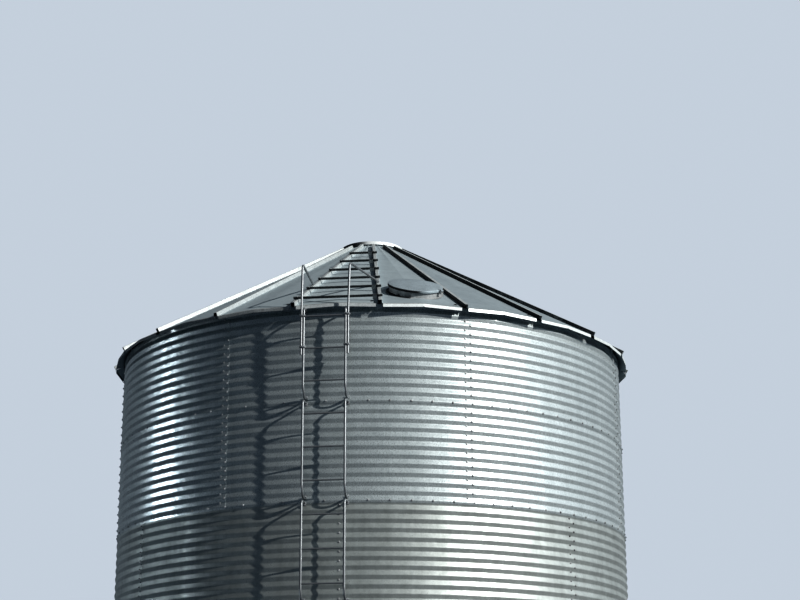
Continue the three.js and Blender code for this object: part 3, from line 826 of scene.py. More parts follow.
# %% Panel sheet and lip
LIP_HEIGHT = 0.038
LIP_OVERLAP = 0.03
LIP_BEND = 0.005
LIP_GAPS = (0.033, 0.047)
LIP_MIDDLE = 0.010
LIP_NOTCH = 0.008
LIP_COLUMNS = 15
LIP_LIFT = 0.0006
CORNER_START = 0.93
CORNER_END = 0.965
CORNER_CUT = 0.056


def straight_edge(turn):
    """How much nearer the straight eave edge is than the round one: for each
    half, cos q / cos(|t| - q), less an inset that grows to the fold."""
    inset = FOLD_INSET / EAVE_RADIUS * (1 - np.abs(turn) / HALF_PANEL)
    return cos(QUARTER_PANEL) / np.cos(np.abs(turn) - QUARTER_PANEL) - inset


def plain_plan(rows=26, columns=15):
    """Plan of a panel: along the slope from eave to top, and across from joint
    to joint. Its two low corners are cut off under the ribs."""
    inside = np.linspace(-CORNER_START, CORNER_START, columns)
    spread = np.concatenate([[-1, -CORNER_END], inside, [CORNER_END, 1]])
    radius = np.linspace(EAVE_RADIUS - 0.002, PANEL_TOP_RADIUS, rows)[:, None]
    cut = np.where(np.abs(spread) > CORNER_START + 0.001, CORNER_CUT, 0.0)
    turn = spread * HALF_PANEL
    reach = np.minimum(radius, EAVE_RADIUS - cut) * straight_edge(turn)
    turn = turn * (1 - JOINT_GAP / (reach * HALF_PANEL))
    return reach * np.sin(turn), -reach * np.cos(turn)


def eave_lip():
    """The turned-down edge, between the ribs: a quarter round of small radius
    from the slope to upright, then straight down. Inner points lie one thickness
    inside. The lip follows the panel's fold, where its foot has a notch."""
    half_edge = EAVE_RADIUS * sin(HALF_PANEL)
    left, right = (np.linspace(LIP_MIDDLE / half_edge, 1 - gap / half_edge, LIP_COLUMNS // 2)
                   for gap in LIP_GAPS)
    turn = np.concatenate([-left[::-1], [0.0], right]) * HALF_PANEL
    stretch = straight_edge(turn)
    reach = EAVE_RADIUS * stretch
    rise = panel_height(reach * np.sin(turn), -reach * np.cos(turn)) - EAVE_HEIGHT
    bend = np.linspace(SLOPE, pi / 2, 5)
    out = np.concatenate([[-LIP_OVERLAP * cos(SLOPE)], LIP_BEND * (np.sin(bend) - sin(SLOPE)),
                          [LIP_BEND * (1 - sin(SLOPE))]])
    drop = np.concatenate([[LIP_OVERLAP * sin(SLOPE)], -LIP_BEND * (cos(SLOPE) - np.cos(bend)),
                           [-LIP_HEIGHT]])
    normal = np.concatenate([[SLOPE], bend, [pi / 2]])

    def edge(depth):
        radius = EAVE_RADIUS - LIP_BEND / 2 + out + LIP_LIFT - depth * np.sin(normal)
        z = cone_height(EAVE_RADIUS - LIP_BEND / 2) + drop + LIP_LIFT - depth * np.cos(normal)
        reach = radius[:, None] * stretch
        lifted = z[:, None] + rise
        lifted[-1] += np.where(turn == 0.0, LIP_NOTCH, 0.0)
        return np.stack([reach * np.sin(turn), -reach * np.cos(turn), lifted], -1)

    return sheet(edge(0.0), edge(PANEL_THICKNESS))


print("lip", LIP_HEIGHT, "m")

# %% Rib and eave clip
RIB_WIDTH = 0.042
RIB_HEIGHT = 0.046
RIB_FOOT = -0.001
RIB_TOP_RADIUS = 0.49
RIB_CORNER = 0.005
RIB_ROWS = 14
RIB_SHINE = 0.11
# Painted shade: the tone that darkens each rib's left side, which faces away from the sun.
RIB_PAINTED_SHADE = -0.9
CLIP_TURN = HALF_PANEL - radians(1.6)
CLIP_COLUMNS = 5
CLIP_SHEET = 0.003
CLIP_BOLT_DROP = 0.014
CLIP_BOLT_SIZE = 1.1
# Rows of the clip: height over the wall's top, half width, distance out.
CLIP_ROWS = np.array([(-0.036, 0.022, 0.009), (-0.030, 0.030, 0.009), (0.0, 0.032, 0.009),
                      (0.006, 0.032, 0.012), (0.022, 0.024, 0.024), (0.031, 0.010, 0.032)])


def roof_axes(turn):
    """Sideways, square to the roof, and down the slope, at a turn."""
    out = facing(turn)
    side = np.array([cos(turn), sin(turn), 0.0])
    normal = out * sin(SLOPE) + [0, 0, cos(SLOPE)]
    return side, normal, out * cos(SLOPE) - [0, 0, sin(SLOPE)]


def rib_section():
    """The channel's section from its right foot over the top to its left foot:
    x and y, and the direction its skin faces. The left half mirrors the right
    one. Points close to the bend keep the flats flat."""
    half, low, close = RIB_WIDTH / 2, RIB_HEIGHT - RIB_CORNER, 0.0015
    bend = np.linspace(0, pi / 2, 5)
    x = [*[half] * 3, *half - RIB_CORNER + RIB_CORNER * np.cos(bend), half - RIB_CORNER - close]
    y = [RIB_FOOT, 0.012, low - close, *low + RIB_CORNER * np.sin(bend), RIB_HEIGHT]
    right = np.array([x, y, [1] * 3 + [*np.cos(bend)] + [0], [0] * 3 + [*np.sin(bend)] + [1]])
    return np.concatenate([right, right[:, ::-1] * [[-1], [1], [-1], [1]]], 1)


def rib():
    """A channel open below, carried down the slope along the joint on the panel's
    left."""
    x, y, facing_x, facing_y = rib_section()
    y[-1] = JOINT_GAP
    inner_x, inner_y = x - PANEL_THICKNESS * facing_x, y - PANEL_THICKNESS * facing_y
    side, normal, down = roof_axes(-HALF_PANEL)
    top = facing(-HALF_PANEL) * RIB_TOP_RADIUS + [0, 0, cone_height(RIB_TOP_RADIUS)]
    length = (EAVE_RADIUS - RIB_TOP_RADIUS) / cos(SLOPE)
    along = np.linspace(0, length, RIB_ROWS)[:, None, None]

    def skin(u, v):
        return top + u[:, None] * side + v[:, None] * normal + along * down

    return sheet(skin(x, y), skin(inner_x, inner_y))


def rib_tones(painted_shade):
    """A tone for each point of the rib: bright on its top and right side, and dark
    on its left side, a painted shade for the side that faces away from the sun."""
    count = rib_section().shape[1]
    row = np.where(np.arange(count) > count // 2 + 3, painted_shade, RIB_SHINE)
    return np.tile(row, 2 * RIB_ROWS)


def eave_clip():
    """A small bent plate that holds the panel on the wall's top: upright on the
    wall's top wave, leaning out to the roof above it. Its outline narrows to
    a point at the top."""
    height, half, out = CLIP_ROWS.T[:, :, None]
    across = np.linspace(-1, 1, CLIP_COLUMNS)

    def skin(depth):
        rows = half * across, -(WALL_RADIUS + out - depth), WALL_TOP + height
        return np.stack(np.broadcast_arrays(*rows), -1)

    place = [[0.0, -(WALL_RADIUS + CLIP_ROWS[0, 2]), WALL_TOP - CLIP_BOLT_DROP]]
    parts = [sheet(skin(0.0), skin(CLIP_SHEET)), *bolts(place, [[0, -1, 0]], CLIP_BOLT_SIZE)]
    return swung_parts(parts, CLIP_TURN)


print("rib", RIB_WIDTH, "by", RIB_HEIGHT, "m")

# %% [markdown]
# The hatch stands on the second panel, which has a round hole for it. To make that
# sheet, rays run from the hatch's middle to the panel's outline. Each ray starts
# on the hole and ends on the outline, so the grid is square nowhere but
# closes neatly on both.

# %% The panel with the hatch hole
HATCH_RAYS = 20
HATCH_RINGS = 14


def hatch_plan():
    """Plan points (1 - s) hole + s outline for s from 0 to 1. The hole is a circle
    seen square to the slope, so its plan is shorter along the slope. The
    outline has the panel's two joints, the top edge and the folded eave."""
    x, y = plain_plan(2, 3)
    eave, top = np.stack([x[0], y[0]], -1), np.stack([x[1, ::3], y[1, ::3]], -1)[::-1]
    corners = np.concatenate([eave, top, eave[:1]])
    counts = [2, 3, HATCH_RAYS, HATCH_RAYS, 3, 2, HATCH_RAYS, 8, 8, HATCH_RAYS]
    outline = np.concatenate([np.linspace(a, b, count, endpoint=False)
                              for a, b, count in zip(corners, corners[1:], counts)])
    away = outline - [0.0, -HATCH_PLACE]
    angle = np.arctan2(away[:, 1] / cos(SLOPE), away[:, 0])
    radius = HATCH_RADIUS + 0.002
    hole = np.stack([radius * np.cos(angle),
                     -HATCH_PLACE + radius * np.sin(angle) * cos(SLOPE)], -1)
    share = (np.linspace(0, 1, HATCH_RINGS) ** 1.4)[:, None, None]
    plan = (1 - share) * hole + share * outline
    return plan[..., 0], plan[..., 1]


print("hatch sheet has", len(panel_sheet(*hatch_plan(), wrap=True)[0]), "points")

# %% [markdown]
# The panels' tones change round the roof: the front ones are pale and the ones on
# the right darker, with a little random spread. The lips carry a painted highlight
# that grows towards the right, where the sun falls on them, and the clips a painted
# patch of sunlight below and painted shade above. The tones of a panel are listed
# in the order of its parts.

# %% All panels
# Turns in degrees, and the tone there, of the panels and of their lips. The lips'
# tones are a painted highlight, brighter where the sun falls on them to the right,
# and a little painted shade on the left.
PANEL_TURN_TONES = ((-100, -17, 0, 17, 34, 120, 180), (0.0, 0.15, 0.42, -0.05, -0.35, -0.2, 0.0))
LIP_PAINTED_HIGHLIGHT = ((-60, -10, 0, 17, 120, 180), (-0.15, 0.0, 0.25, 0.4, 0.4, 0.1))
# Painted light on the clip's rows: a painted patch of sunlight below and painted shade above.
CLIP_PAINTED_LIGHT = (0.4, 0.4, 0.4, 0.1, -0.45, -0.45)
# From this turn on, the ribs' painted shade is halved.
HALF_SHADE_FROM = 60
PANEL_TONE_SPREAD = 0.06
ROOF_SEED = 21


def roof_panel(index, random):
    """One panel with its rib, lip and clip. The pieces are drawn for turn 0, and
    swung to their place."""
    flat = (panel_sheet(*hatch_plan(), wrap=True) if index == HATCH_PANEL
            else panel_sheet(*plain_plan()))
    parts = swung_parts([flat], index * PANEL_TURN)
    bright = swung_parts([*eave_clip(), eave_lip(), rib()], index * PANEL_TURN)
    turn = (index * 360 / PANELS + 180) % 360 - 180
    shade = np.interp(turn, *PANEL_TURN_TONES) + random.uniform(-PANEL_TONE_SPREAD, PANEL_TONE_SPREAD)
    edge = np.interp(turn, *LIP_PAINTED_HIGHLIGHT)
    # Painted light and shade: a sunlit patch and shade on the clips, a highlight on the lips'
    # upright face, and shade on the ribs' left sides.
    tones = [np.full(len(all_points(parts)), shade),
             np.tile(np.repeat(CLIP_PAINTED_LIGHT, CLIP_COLUMNS), 2),
             np.zeros(len(all_points(bright[1:-2]))),
             np.tile(np.repeat([-0.05] * 4 + [edge] * 3, LIP_COLUMNS), 2),
             rib_tones(RIB_PAINTED_SHADE if turn < HALF_SHADE_FROM else 0.5 * RIB_PAINTED_SHADE)]
    make_piece(f"roof_sheet_{index + 1:02d}", parts, roof_zinc, [f"roof_panel_{index + 1:02d}"],
               tones=np.concatenate(tones), second=(rib_zinc, bright))


random = np.random.default_rng(ROOF_SEED)
for index in range(PANELS):
    roof_panel(index, random)
print("a panel has", totals["roof_sheet_01"], "triangles")

# %% [markdown]
# ## Lids and hinges
#
# The peak and the hatch each have a shallow lid: one profile swept round the
# axis, with a rolled edge that catches a line of light. Each swings on a strap
# hinge. The lid carries the strap, the knuckle and the pin, and the silo carries
# two ears, one at each end of the knuckle. Both are drawn with the hinge out
# along x.

# %% Lid and hinge parts
LID_GAP = 0.007
LID_SHEET = 0.004
LID_ROUND = 0.005
LID_SIDES = 96
BEAD_RADIUS = 0.003
KNUCKLE_RADIUS = 0.009
KNUCKLE_LENGTH = 0.040
EAR_GAP = 0.002
EAR_THICKNESS = 0.006
EAR_WIDTH = 0.022
PIN_RADIUS = 0.004
PIN_HALF = KNUCKLE_LENGTH / 2 + EAR_GAP + EAR_THICKNESS
UP = np.array([0.0, 0.0, 1.0])


def arc(middle, radius, start, end, steps):
    """Points (m + r cos a, n + r sin a) for a from start to end, in degrees."""
    angle = np.radians(np.linspace(start, end, steps))
    return middle + radius * np.stack([np.cos(angle), np.sin(angle)], -1)


def lid_cap(radius, rim_top, rise, lip):
    """A shallow crowned cap with a turned-down lip that ends in a rolled bead. The
    crown's height is rise times 1 - (r / R)^2, and both poles are on the axis."""
    crown = np.linspace(0, 1, 9)[:-1]
    swell = rise * (1 - crown ** 2)
    deep = LID_ROUND + LID_SHEET
    top = np.stack([crown * (radius - LID_SHEET), rim_top + swell], -1)
    edge = arc((radius - LID_ROUND, rim_top - LID_ROUND), LID_ROUND, 80, 0, 5)
    bead = arc((radius - 0.0025, rim_top - lip + BEAD_RADIUS), BEAD_RADIUS, 20, -200, 9)
    inside = arc((radius - deep, rim_top - deep), LID_ROUND, 0, 80, 4)
    under = np.stack([crown * (radius - 2 * LID_SHEET), rim_top - LID_SHEET + swell], -1)[::-1]
    return turned(np.concatenate([top, edge, bead, inside, under]), LID_SIDES)


def bar(half, hinge, radius, sides, bevel):
    """A round bar along y through (x, z), its ends slightly bevelled."""
    y = np.array([-half, bevel - half, half - bevel, half])[:, None]
    radii = radius - bevel * np.array([1, 0, 0, 1])[:, None]
    x, z = circle(sides).T
    points = np.broadcast_arrays(hinge[0] + radii * x, y, hinge[1] + radii * z)
    return tube(np.stack(points, -1))


def plate(low, high, bevel=0.0015):
    """A flat bar along y between two corners, with all its edges bevelled: an
    eight-cornered section, drawn smaller at both ends."""
    (x0, y0, z0), (x1, y1, z1) = low, high
    b = min(bevel, *(np.subtract(high, low) / 3))
    section = np.array([(x0 + b, z0), (x1 - b, z0), (x1, z0 + b), (x1, z1 - b),
                        (x1 - b, z1), (x0 + b, z1), (x0, z1 - b), (x0, z0 + b)])
    middle = section.mean(0)
    small = middle + (section - middle) * (1 - b / np.abs(section - middle).max(0))
    rings = [np.insert(ring, 1, y, axis=1)
             for ring, y in ((small, y0), (section, y0 + b), (section, y1 - b), (small, y1))]
    return tube(np.array(rings))


def lid(radius, hinge, rim_top, rise, lip):
    """A cap and its half of the hinge: the strap, the knuckle and its pin."""
    half = KNUCKLE_LENGTH / 2
    return [lid_cap(radius, rim_top, rise, lip),
            plate((radius - 0.060, -half, rim_top - 0.004), (hinge[0], half, rim_top + 0.004)),
            bar(half, hinge, KNUCKLE_RADIUS, 20, 0.001),
            bar(PIN_HALF, hinge, PIN_RADIUS, 12, 0.0008)]


def ears(hinge, foot):
    """The fixed half of a hinge: two upright plates."""
    x, z = hinge
    half = EAR_WIDTH / 2
    return [plate((x - half, y, foot), (x + half, y + EAR_THICKNESS, z + half))
            for y in (-PIN_HALF, PIN_HALF - EAR_THICKNESS)]


print("a hinge pin is", 2 * PIN_HALF, "m long")

# %% Peak
PEAK_RADIUS = 0.370
PEAK_FLANGE_RADIUS = 0.500
PEAK_COLLAR_TOP = EAVE_HEIGHT + 1.72108
PEAK_SHEET = 0.004
PEAK_FLANGE_DROP = 0.0046
PEAK_LID_RADIUS = 0.420
PEAK_LID_LIP = 0.045
PEAK_LID_RISE = 0.030
PEAK_HINGE_TURN = 10 * PANEL_TURN
# Turns in degrees, and the tone of the lid's lip there: painted light on the
# sunlit right, painted shade on the left.
PEAK_LIP_PAINTED_LIGHT = ((-120, -85, -14, 0, 60, 120), (0.0, -0.45, -0.45, 0.5, 0.5, 0.0))

peak_rim_top = PEAK_COLLAR_TOP + LID_GAP + LID_SHEET
peak_hinge = (0.445, peak_rim_top - 0.005)
under = PEAK_FLANGE_DROP / cos(SLOPE)
inner = PEAK_RADIUS - PEAK_SHEET
collar_profile = [(inner, cone_height(inner) - under - PEAK_SHEET),
                  (PEAK_FLANGE_RADIUS, cone_height(PEAK_FLANGE_RADIUS) - under - PEAK_SHEET),
                  (PEAK_FLANGE_RADIUS, cone_height(PEAK_FLANGE_RADIUS) - under),
                  (PEAK_RADIUS, cone_height(PEAK_RADIUS) - under),
                  (PEAK_RADIUS, PEAK_COLLAR_TOP - 0.002), (PEAK_RADIUS - 0.002, PEAK_COLLAR_TOP),
                  (inner, PEAK_COLLAR_TOP)]
make_piece("peak_collar", [turned(collar_profile, 6 * PANELS, closed_loop=True)], roof_zinc,
           ["peak_ring"])

centre = np.zeros(3)
hinge_out = facing(PEAK_HINGE_TURN)
peak_axes = (hinge_out, np.cross(UP, hinge_out), UP)
lid_parts = lid(PEAK_LID_RADIUS, peak_hinge, peak_rim_top, PEAK_LID_RISE, PEAK_LID_LIP)
lid_parts = placed(lid_parts, centre, peak_axes)
points = all_points(lid_parts)
tones = np.where(points[:, 2] < peak_rim_top + 0.001,
                 np.interp(turns_of(points), *PEAK_LIP_PAINTED_LIGHT), 0.0)
make_piece("peak_cover", lid_parts, painted_light_zinc, ["peak_lid"], body="peak_lid", tones=tones)
peak_ears = ears(peak_hinge, cone_height(peak_hinge[0]) - 0.008)
make_piece("peak_hinge_ears", placed(peak_ears, centre, peak_axes), tube_zinc)
print("peak lid top", round(peak_rim_top + PEAK_LID_RISE, 3))

# %% [markdown]
# ## Roof hatch
#
# The hatch is a short round collar that stands square to the roof, with a flange
# riveted to the panel and one upright seam, and a lid with a lip. The hinge sits
# to the right and a little down the slope. All of it is drawn in the hatch's own
# frame, with x out to the hinge and z square to the roof. The tones follow the
# angle round the hatch. The collar's shaded left side carries painted light, most
# of all beside its seam, and painted shade along its foot there. The lid's lip
# carries painted shade on the sides away from the hinge.

# %% Hatch
HATCH_COLLAR_HEIGHT = 0.085
HATCH_COLLAR_DEPTH = 0.025
HATCH_LID_RADIUS = 0.320
HATCH_LID_LIP = 0.028
HATCH_LID_RISE = 0.022
HATCH_HINGE_SWING = radians(36)
HATCH_SEAM = radians(-102)
HATCH_RIVETS = 20
RIVET_SIZE = 0.55
# Angles round the hatch in degrees, and the collar's tone there: painted light on
# its shaded left side, palest in two strips beside the seam, which stays darker.
NECK_PAINTED_LIGHT = ((-160, -125, -115, -108, -102, -97, -91, -84, -70, -55),
              (0.1, 0.2, 0.5, 0.3, -0.1, 0.3, 0.5, 0.1, 0.0, -0.1))
# Painted shade along the collar's foot on its left.
NECK_FOOT_PAINTED_SHADE = -0.45
# The lid's own tone, and the painted shade on its lip's sides away from the hinge.
LID_LIGHT, LID_PAINTED_SHADE = 0.25, -0.9

hatch_turn = HATCH_PANEL * PANEL_TURN
side, normal, down = roof_axes(hatch_turn)
hinge_way = side * cos(HATCH_HINGE_SWING) + down * sin(HATCH_HINGE_SWING)
hatch_origin = facing(hatch_turn) * HATCH_PLACE + [0, 0, cone_height(HATCH_PLACE)]
hatch_axes = (hinge_way, np.cross(normal, hinge_way), normal)
hatch_rim_top = HATCH_COLLAR_HEIGHT + LID_GAP + LID_SHEET
hatch_hinge = (0.340, hatch_rim_top - 0.012)
arm_top = hatch_rim_top - HATCH_LID_LIP - 0.006


def hatch_collar():
    """The collar's wall with a rolled top edge, a flange on the panel, the seam's
    cover strip, and the arm that carries the hinge's ears."""
    inside = HATCH_RADIUS - 0.004
    wall = [(inside, -HATCH_COLLAR_DEPTH), (HATCH_RADIUS, -HATCH_COLLAR_DEPTH),
            (HATCH_RADIUS, HATCH_COLLAR_HEIGHT - 0.003),
            (HATCH_RADIUS - 0.002, HATCH_COLLAR_HEIGHT), (inside, HATCH_COLLAR_HEIGHT)]
    flange = [(HATCH_RADIUS + out, z) for out, z in (
        (0.0002, 0.001), (0.035, 0.001), (0.035, 0.003), (0.006, 0.0035), (0.002, 0.006),
        (0.0002, 0.014))]
    seam = plate((HATCH_RADIUS + 0.0005, -0.014, 0.004), (HATCH_RADIUS + 0.004, 0.014, 0.055))
    seam_axes = (facing(HATCH_SEAM + pi / 2), facing(HATCH_SEAM + pi), UP)
    arm = plate((inside + 0.001, -PIN_HALF, arm_top - 0.012),
                (hatch_hinge[0] + EAR_WIDTH / 2, PIN_HALF, arm_top))
    rivets = np.insert(circle(HATCH_RIVETS) * (HATCH_RADIUS + 0.021), 2, 0.003, axis=1)
    return [*(turned(profile, LID_SIDES, closed_loop=True) for profile in (wall, flange)),
            *placed([seam], centre, seam_axes), arm, *ears(hatch_hinge, arm_top - 0.001),
            *bolts(rivets, np.tile(UP, (HATCH_RIVETS, 1)), RIVET_SIZE)]


neck_parts = hatch_collar()
points = all_points(neck_parts)
away = np.degrees(np.arctan2(points[:, 1], points[:, 0]))
tones = np.where((points[:, 2] < 0.010) & (away < -75), NECK_FOOT_PAINTED_SHADE,
                 np.interp(away, *NECK_PAINTED_LIGHT))
make_piece("hatch_neck", placed(neck_parts, hatch_origin, hatch_axes), painted_light_zinc,
           ["hatch_collar"], tones=tones)

lid_parts = lid(HATCH_LID_RADIUS, hatch_hinge, hatch_rim_top, HATCH_LID_RISE, HATCH_LID_LIP)
points = all_points(lid_parts)
away = np.degrees(np.arctan2(points[:, 1], points[:, 0]))
# Painted shade on the lip, on the sides away from the hinge.
shaded_side = smooth_step((-away - 40) / 32) + smooth_step((away - 60) / 32)
tones = LID_LIGHT + (LID_PAINTED_SHADE - LID_LIGHT) * shaded_side * (points[:, 2] < hatch_rim_top - 0.003)
make_piece("hatch_cover", placed(lid_parts, hatch_origin, hatch_axes), lid_zinc,
           ["hatch_lid"], body="hatch_lid", tones=tones)
print("hatch at", np.round(hatch_origin, 3))

# %% [markdown]
# ## The wall ladder
#
# One section of ladder belongs to each ring: two tubes bent back to the wall at
# both ends, and three rungs. A tube is a circle carried along a path. The path has
# round bends, and near its ends the circle is pressed flat and ends in a small
# bolted tab.

# %% Tubes along a bent path
LADDER_TURN = radians(-2)
RAIL_SPACING = 0.475
RAIL_RADIUS = 0.0135
RUNG_RADIUS = 0.010
STANDOFF = 0.180
RAIL_BENDS = (0.130, 0.050)
RAIL_END_INSET = 0.022
LOWEST_RAIL_END = 0.110
TOP_RAIL_END = 0.078
FIRST_RUNG = 0.194
RUNGS = 3
RUNG_PITCH = RING_HEIGHT / RUNGS
LADDER_FACE = -WALL_RADIUS - STANDOFF
BEND_STEPS = 8


def bent_path(corners, bends):
    """Corners joined by straight runs, each inner corner replaced by an arc of its
    own radius. The arc's middle lies radius / sin(half angle) along the corner's
    bisector."""
    corners = np.asarray(corners, float)
    points = [corners[:1]]
    for before, corner, after, radius in zip(corners, corners[1:], corners[2:], bends):
        back = (before - corner) / np.linalg.norm(before - corner)
        onward = (after - corner) / np.linalg.norm(after - corner)
        half = np.arccos(np.clip(back @ onward, -1, 1)) / 2
        bisector = (back + onward) / np.linalg.norm(back + onward)
        middle = corner + bisector * radius / sin(half)
        start = corner + back * radius / tan(half) - middle
        end = corner + onward * radius / tan(half) - middle
        sweep = pi - 2 * half
        share = np.linspace(0, 1, BEND_STEPS + 1)[:, None]
        points.append(middle + (np.sin((1 - share) * sweep) * start
                                + np.sin(share * sweep) * end) / sin(sweep))
    return np.concatenate(points + [corners[-1:]])


def bent_tube(path, radius, across=(1.0, 0.0, 0.0), sides=16, widths=1.0, heights=1.0):
    """A circle carried along the path: p + r (w cos a U + h sin a V), where U is
    `across` made square to the path, and V is square to both. Widths and heights
    press the circle flat where they differ from 1."""
    along = np.gradient(path, axis=0)
    along /= np.linalg.norm(along, axis=1, keepdims=True)
    u = np.asarray(across) - (along @ np.asarray(across))[:, None] * along
    u /= np.linalg.norm(u, axis=1, keepdims=True)
    v = np.cross(along, u)
    ring = circle(sides) * radius
    widths, heights = np.broadcast_to(widths, len(path)), np.broadcast_to(heights, len(path))
    rings = (path[:, None] + ring[None, :, :1] * (u * widths[:, None])[:, None]
             + ring[None, :, 1:] * (v * heights[:, None])[:, None])
    return tube(rings)


print("ladder face at", round(LADDER_FACE, 3))

# %% Ladder sections
TAB_WIDTH = 0.036
TAB_HEIGHT = 0.042
TAB_THICKNESS = 0.004
TAB_INSET = 0.006
TAB_BOLT_PLACE = 0.022
TAB_BOLT_SIZE = 0.95
FLAT_WIDTH, FLAT_HEIGHT = 1.25, 0.32
FLAT_REACH = 0.05
TAB_FACE = -WALL_RADIUS - WAVE_DEPTH / 2 - LAP_STEP * 1.2 - TAB_THICKNESS


def rail(x, low, high):
    """One rail with flattened ends, its two tabs and their bolts."""
    path = bent_path([(x, TAB_FACE, low), (x, LADDER_FACE, low), (x, LADDER_FACE, high),
                      (x, TAB_FACE, high)], RAIL_BENDS)
    first = np.array([(x, TAB_FACE - end, low) for end in (0.0, 0.015, 0.030)])
    last = first[::-1] * [1, 1, 0] + [0, 0, high]
    path = np.concatenate([first, path[1:-1], last])
    full = smooth_step(np.abs(path[:, 1] - TAB_FACE) / FLAT_REACH)
    parts = [bent_tube(path, RAIL_RADIUS, widths=FLAT_WIDTH + (1 - FLAT_WIDTH) * full,
                       heights=FLAT_HEIGHT + (1 - FLAT_HEIGHT) * full)]
    for z, way in ((low, 1), (high, -1)):
        z0, z1 = sorted((z - way * TAB_INSET, z + way * (TAB_HEIGHT - TAB_INSET)))
        parts.append(plate((x - TAB_WIDTH / 2, TAB_FACE, z0),
                           (x + TAB_WIDTH / 2, TAB_FACE + TAB_THICKNESS, z1), 0.001))
        place = [[x, TAB_FACE, z + way * TAB_BOLT_PLACE]]
        parts += bolts(place, [[0, -1, 0]], TAB_BOLT_SIZE)
    return parts


def rung(z):
    """A rung between the rails, its ends inside them."""
    path = np.array([(x, LADDER_FACE, z) for x in np.linspace(-0.5, 0.5, 6) * RAIL_SPACING])
    return bent_tube(path, RUNG_RADIUS, across=(0.0, 1.0, 0.0), sides=14)


def ladder_section(number):
    """The section on ring `number`, drawn straight in front and swung to its turn."""
    base = (number - 1) * RING_HEIGHT
    low = base + (LOWEST_RAIL_END if number == 1 else RAIL_END_INSET)
    high = base + RING_HEIGHT - (TOP_RAIL_END if number == RING_COUNT else RAIL_END_INSET)
    parts = [part for side in (-1, 1) for part in rail(side * RAIL_SPACING / 2, low, high)]
    parts += [rung(base + FIRST_RUNG + k * RUNG_PITCH) for k in range(RUNGS)]
    make_piece(f"ladder_run_{number}", swung_parts(parts, LADDER_TURN), tube_zinc,
               [f"wall_ladder_{number}"])


for number in range(1, RING_COUNT + 1):
    ladder_section(number)
print("a ladder section has", totals["ladder_run_1"], "triangles")

# %% [markdown]
# ## Handrails
#
# Two more tubes run up beside the top section, past the eave, and bend back to
# land on the ribs, so that a climber can step onto the roof. Small clamps tie
# each to the ladder's rail.

# %% Handrails and their clamps
HANDRAIL_FOOT = WALL_TOP - 0.625
HANDRAIL_SHOULDER = WALL_TOP - 0.150
HANDRAIL_TOP = WALL_TOP + 0.430
HANDRAIL_BEND = 0.050
HANDRAIL_LANDING = 2.590
RAIL_GAP = 0.0006
LANDING_GAP = 0.002
# The left rail is -1 and the right rail 1.
HANDRAIL_LEAN = {-1: 0.007, 1: 0.016}
CLAMP_HEIGHTS = {-1: (6.170, 6.530), 1: (6.185, 6.537)}
CLAMP_HALF_WIDTH = 0.034
CLAMP_HALF_HEIGHT = 0.011
CLAMP_SHEET = 0.004
SMALL_BOLT_SIZE = 0.8
CLAMP_PLACES = (-0.0175, 0.0135)


def handrail(side):
    """The path starts beside the rail, rises past the eave, and comes down on the
    rib at the landing."""
    foot = side * (RAIL_SPACING / 2 + 2 * RAIL_RADIUS + RAIL_GAP)
    landing = facing(side * HALF_PANEL - LADDER_TURN) * HANDRAIL_LANDING
    landing[2] = (cone_height(HANDRAIL_LANDING) + RIB_HEIGHT / cos(SLOPE) + RAIL_RADIUS
                  + LANDING_GAP)
    path = bent_path([(foot, LADDER_FACE, HANDRAIL_FOOT), (foot, LADDER_FACE, HANDRAIL_SHOULDER),
                      (foot + HANDRAIL_LEAN[side], LADDER_FACE, HANDRAIL_TOP), landing],
                     [HANDRAIL_BEND] * 2)
    parts = [bent_tube(path, RAIL_RADIUS)]
    x = side * (RAIL_SPACING / 2 + RAIL_RADIUS)
    for z in CLAMP_HEIGHTS[side]:
        for y in CLAMP_PLACES:
            low = (x - CLAMP_HALF_WIDTH, LADDER_FACE + y, z - CLAMP_HALF_HEIGHT)
            high = (x + CLAMP_HALF_WIDTH, low[1] + CLAMP_SHEET, z + CLAMP_HALF_HEIGHT)
            parts.append(plate(low, high))
        parts += bolts([[x, LADDER_FACE + CLAMP_PLACES[0], z]], [[0, -1, 0]], SMALL_BOLT_SIZE)
    return parts


for name, side in (("left", -1), ("right", 1)):
    make_piece(f"grab_rail_{name}", swung_parts(handrail(side), LADDER_TURN), tube_zinc,
               [f"handrail_{name}"])
print("a handrail has", totals["grab_rail_left"], "triangles")

# %% [markdown]
# ## Roof ladder
#
# Six bars of angle lie across the two ribs of the front panel. Each is an L section
# drawn straight, with a rounded heel, bolted to both ribs and tied to the right
# rib by a cleat. The bars were cut by hand, so their left ends stop at different
# places past the rib. The bars are painted dark, a painted shade for their shaded
# faces, and their fixings pale, a painted light that shows them against the ribs'
# shade.

# %% Roof steps
STEP_START = 0.16117
STEP_PITCH = 0.4905
STEP_LEG = 0.030
STEP_THICKNESS = 0.004
STEP_RIGHT_OVERHANG = 0.035
STEP_LEFT_OVERHANGS = (0.035, 0.020, 0.012, 0.009, 0.002, 0.002)
STEP_LIFT = 0.0022
STEP_COLUMNS = 8
# Painted shade on the bars, for their shaded faces, and painted light on the fixings.
STEP_PAINTED_SHADE_AND_LIGHT = {"bar": -0.45, "fixings": 0.35}


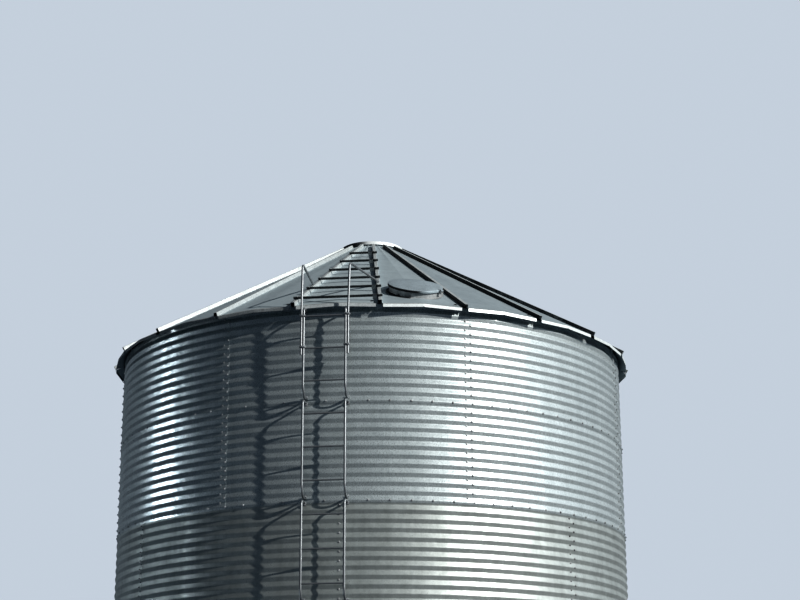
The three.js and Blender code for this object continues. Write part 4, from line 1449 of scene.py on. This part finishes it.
def roof_step(index):
    """The L section's points carried across the panel: one leg stands square to
    the roof on the up-slope side, the other lies on top and points down."""
    radius = EAVE_RADIUS - (STEP_START + index * STEP_PITCH) * cos(SLOPE)
    rib_place = radius * sin(HALF_PANEL)
    side, normal, down = roof_axes(0.0)
    leg, thick = STEP_LEG, STEP_THICKNESS
    section = np.concatenate([[(0, 0)], arc((0.004, leg - 0.004), 0.004, 180, 90, 4),
                              [(leg, leg), (leg, leg - thick), (thick, leg - thick), (thick, 0)]])
    seat = np.array([0.0, -radius * cos(HALF_PANEL), cone_height(radius)])
    seat = seat + normal * (RIB_HEIGHT + STEP_LIFT)
    x = np.linspace(-rib_place - STEP_LEFT_OVERHANGS[index], rib_place + STEP_RIGHT_OVERHANG,
                    STEP_COLUMNS)[:, None, None]
    angle_bar = tube(seat + x * side + section[:, :1] * down + section[:, 1:] * normal)
    bolt_x = np.array([0.014 - rib_place, rib_place])[:, None]
    tops = seat + bolt_x * side + 0.5 * leg * down + leg * normal
    cleat = plate((0.004, rib_place - 0.078, -0.026), (0.008, rib_place - 0.026, 0.024))
    fixings = [*bolts(tops, np.tile(normal, (2, 1)), SMALL_BOLT_SIZE),
               *placed([cleat], seat, (down, side, normal))]
    tones = np.concatenate([np.full(len(angle_bar[0]), STEP_PAINTED_SHADE_AND_LIGHT["bar"]),
                            np.full(len(all_points(fixings)), STEP_PAINTED_SHADE_AND_LIGHT["fixings"])])
    make_piece(f"roof_step_{index + 1}", [angle_bar, *fixings], step_zinc,
               [f"roof_rung_{index + 1}"], tones=tones)


for index in range(len(STEP_LEFT_OVERHANGS)):
    roof_step(index)
print("a roof step has", totals["roof_step_1"], "triangles")

# %% [markdown]
# ## Base angle and floor
#
# The wall stands in a rolled angle with one leg on the ground and one against the
# sheet. The plain floor plate needs no new shape, so its solid stays and
# only takes the wall's finish.

# %% Base angle and floor plate
ANGLE_LEG = 0.060
ANGLE_THICKNESS = 0.006
ANGLE_ROUND = 0.001
ANGLE_FILLET = 0.003
ANGLE_GAP = 0.0003
FOOT_BOLT_HEIGHT = 0.036

base_inner = WALL_RADIUS + WAVE_DEPTH / 2 + ANGLE_GAP
leg, thick = ANGLE_LEG, ANGLE_THICKNESS
angle_profile = [(base_inner + out, z) for out, z in (
    (0.0, 0.0), (leg - ANGLE_ROUND, 0.0), (leg, ANGLE_ROUND), (leg, thick - ANGLE_ROUND),
    (leg - ANGLE_ROUND, thick), (thick + ANGLE_FILLET, thick), (thick, thick + ANGLE_FILLET),
    (thick, leg - ANGLE_ROUND), (thick - ANGLE_ROUND, leg), (0.0, leg))]
foot_bolts = wall_points(SEAM_TURNS, FOOT_BOLT_HEIGHT, base_inner + thick)
make_piece("base_ring", [turned(angle_profile, 24 * SHEETS, closed_loop=True),
                         *bolts(foot_bolts, foot_bolts * [1, 1, 0])], lower_wall, ["base_angle"])
floor_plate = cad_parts["floor"]
floor_plate.data.materials.clear()
floor_plate.data.materials.append(lower_wall)
print(len(totals), "pieces,", sum(totals.values()), "triangles")

# %% [markdown]
# ## Sizes
#
# The dressed silo must fill the same box as the plain model.
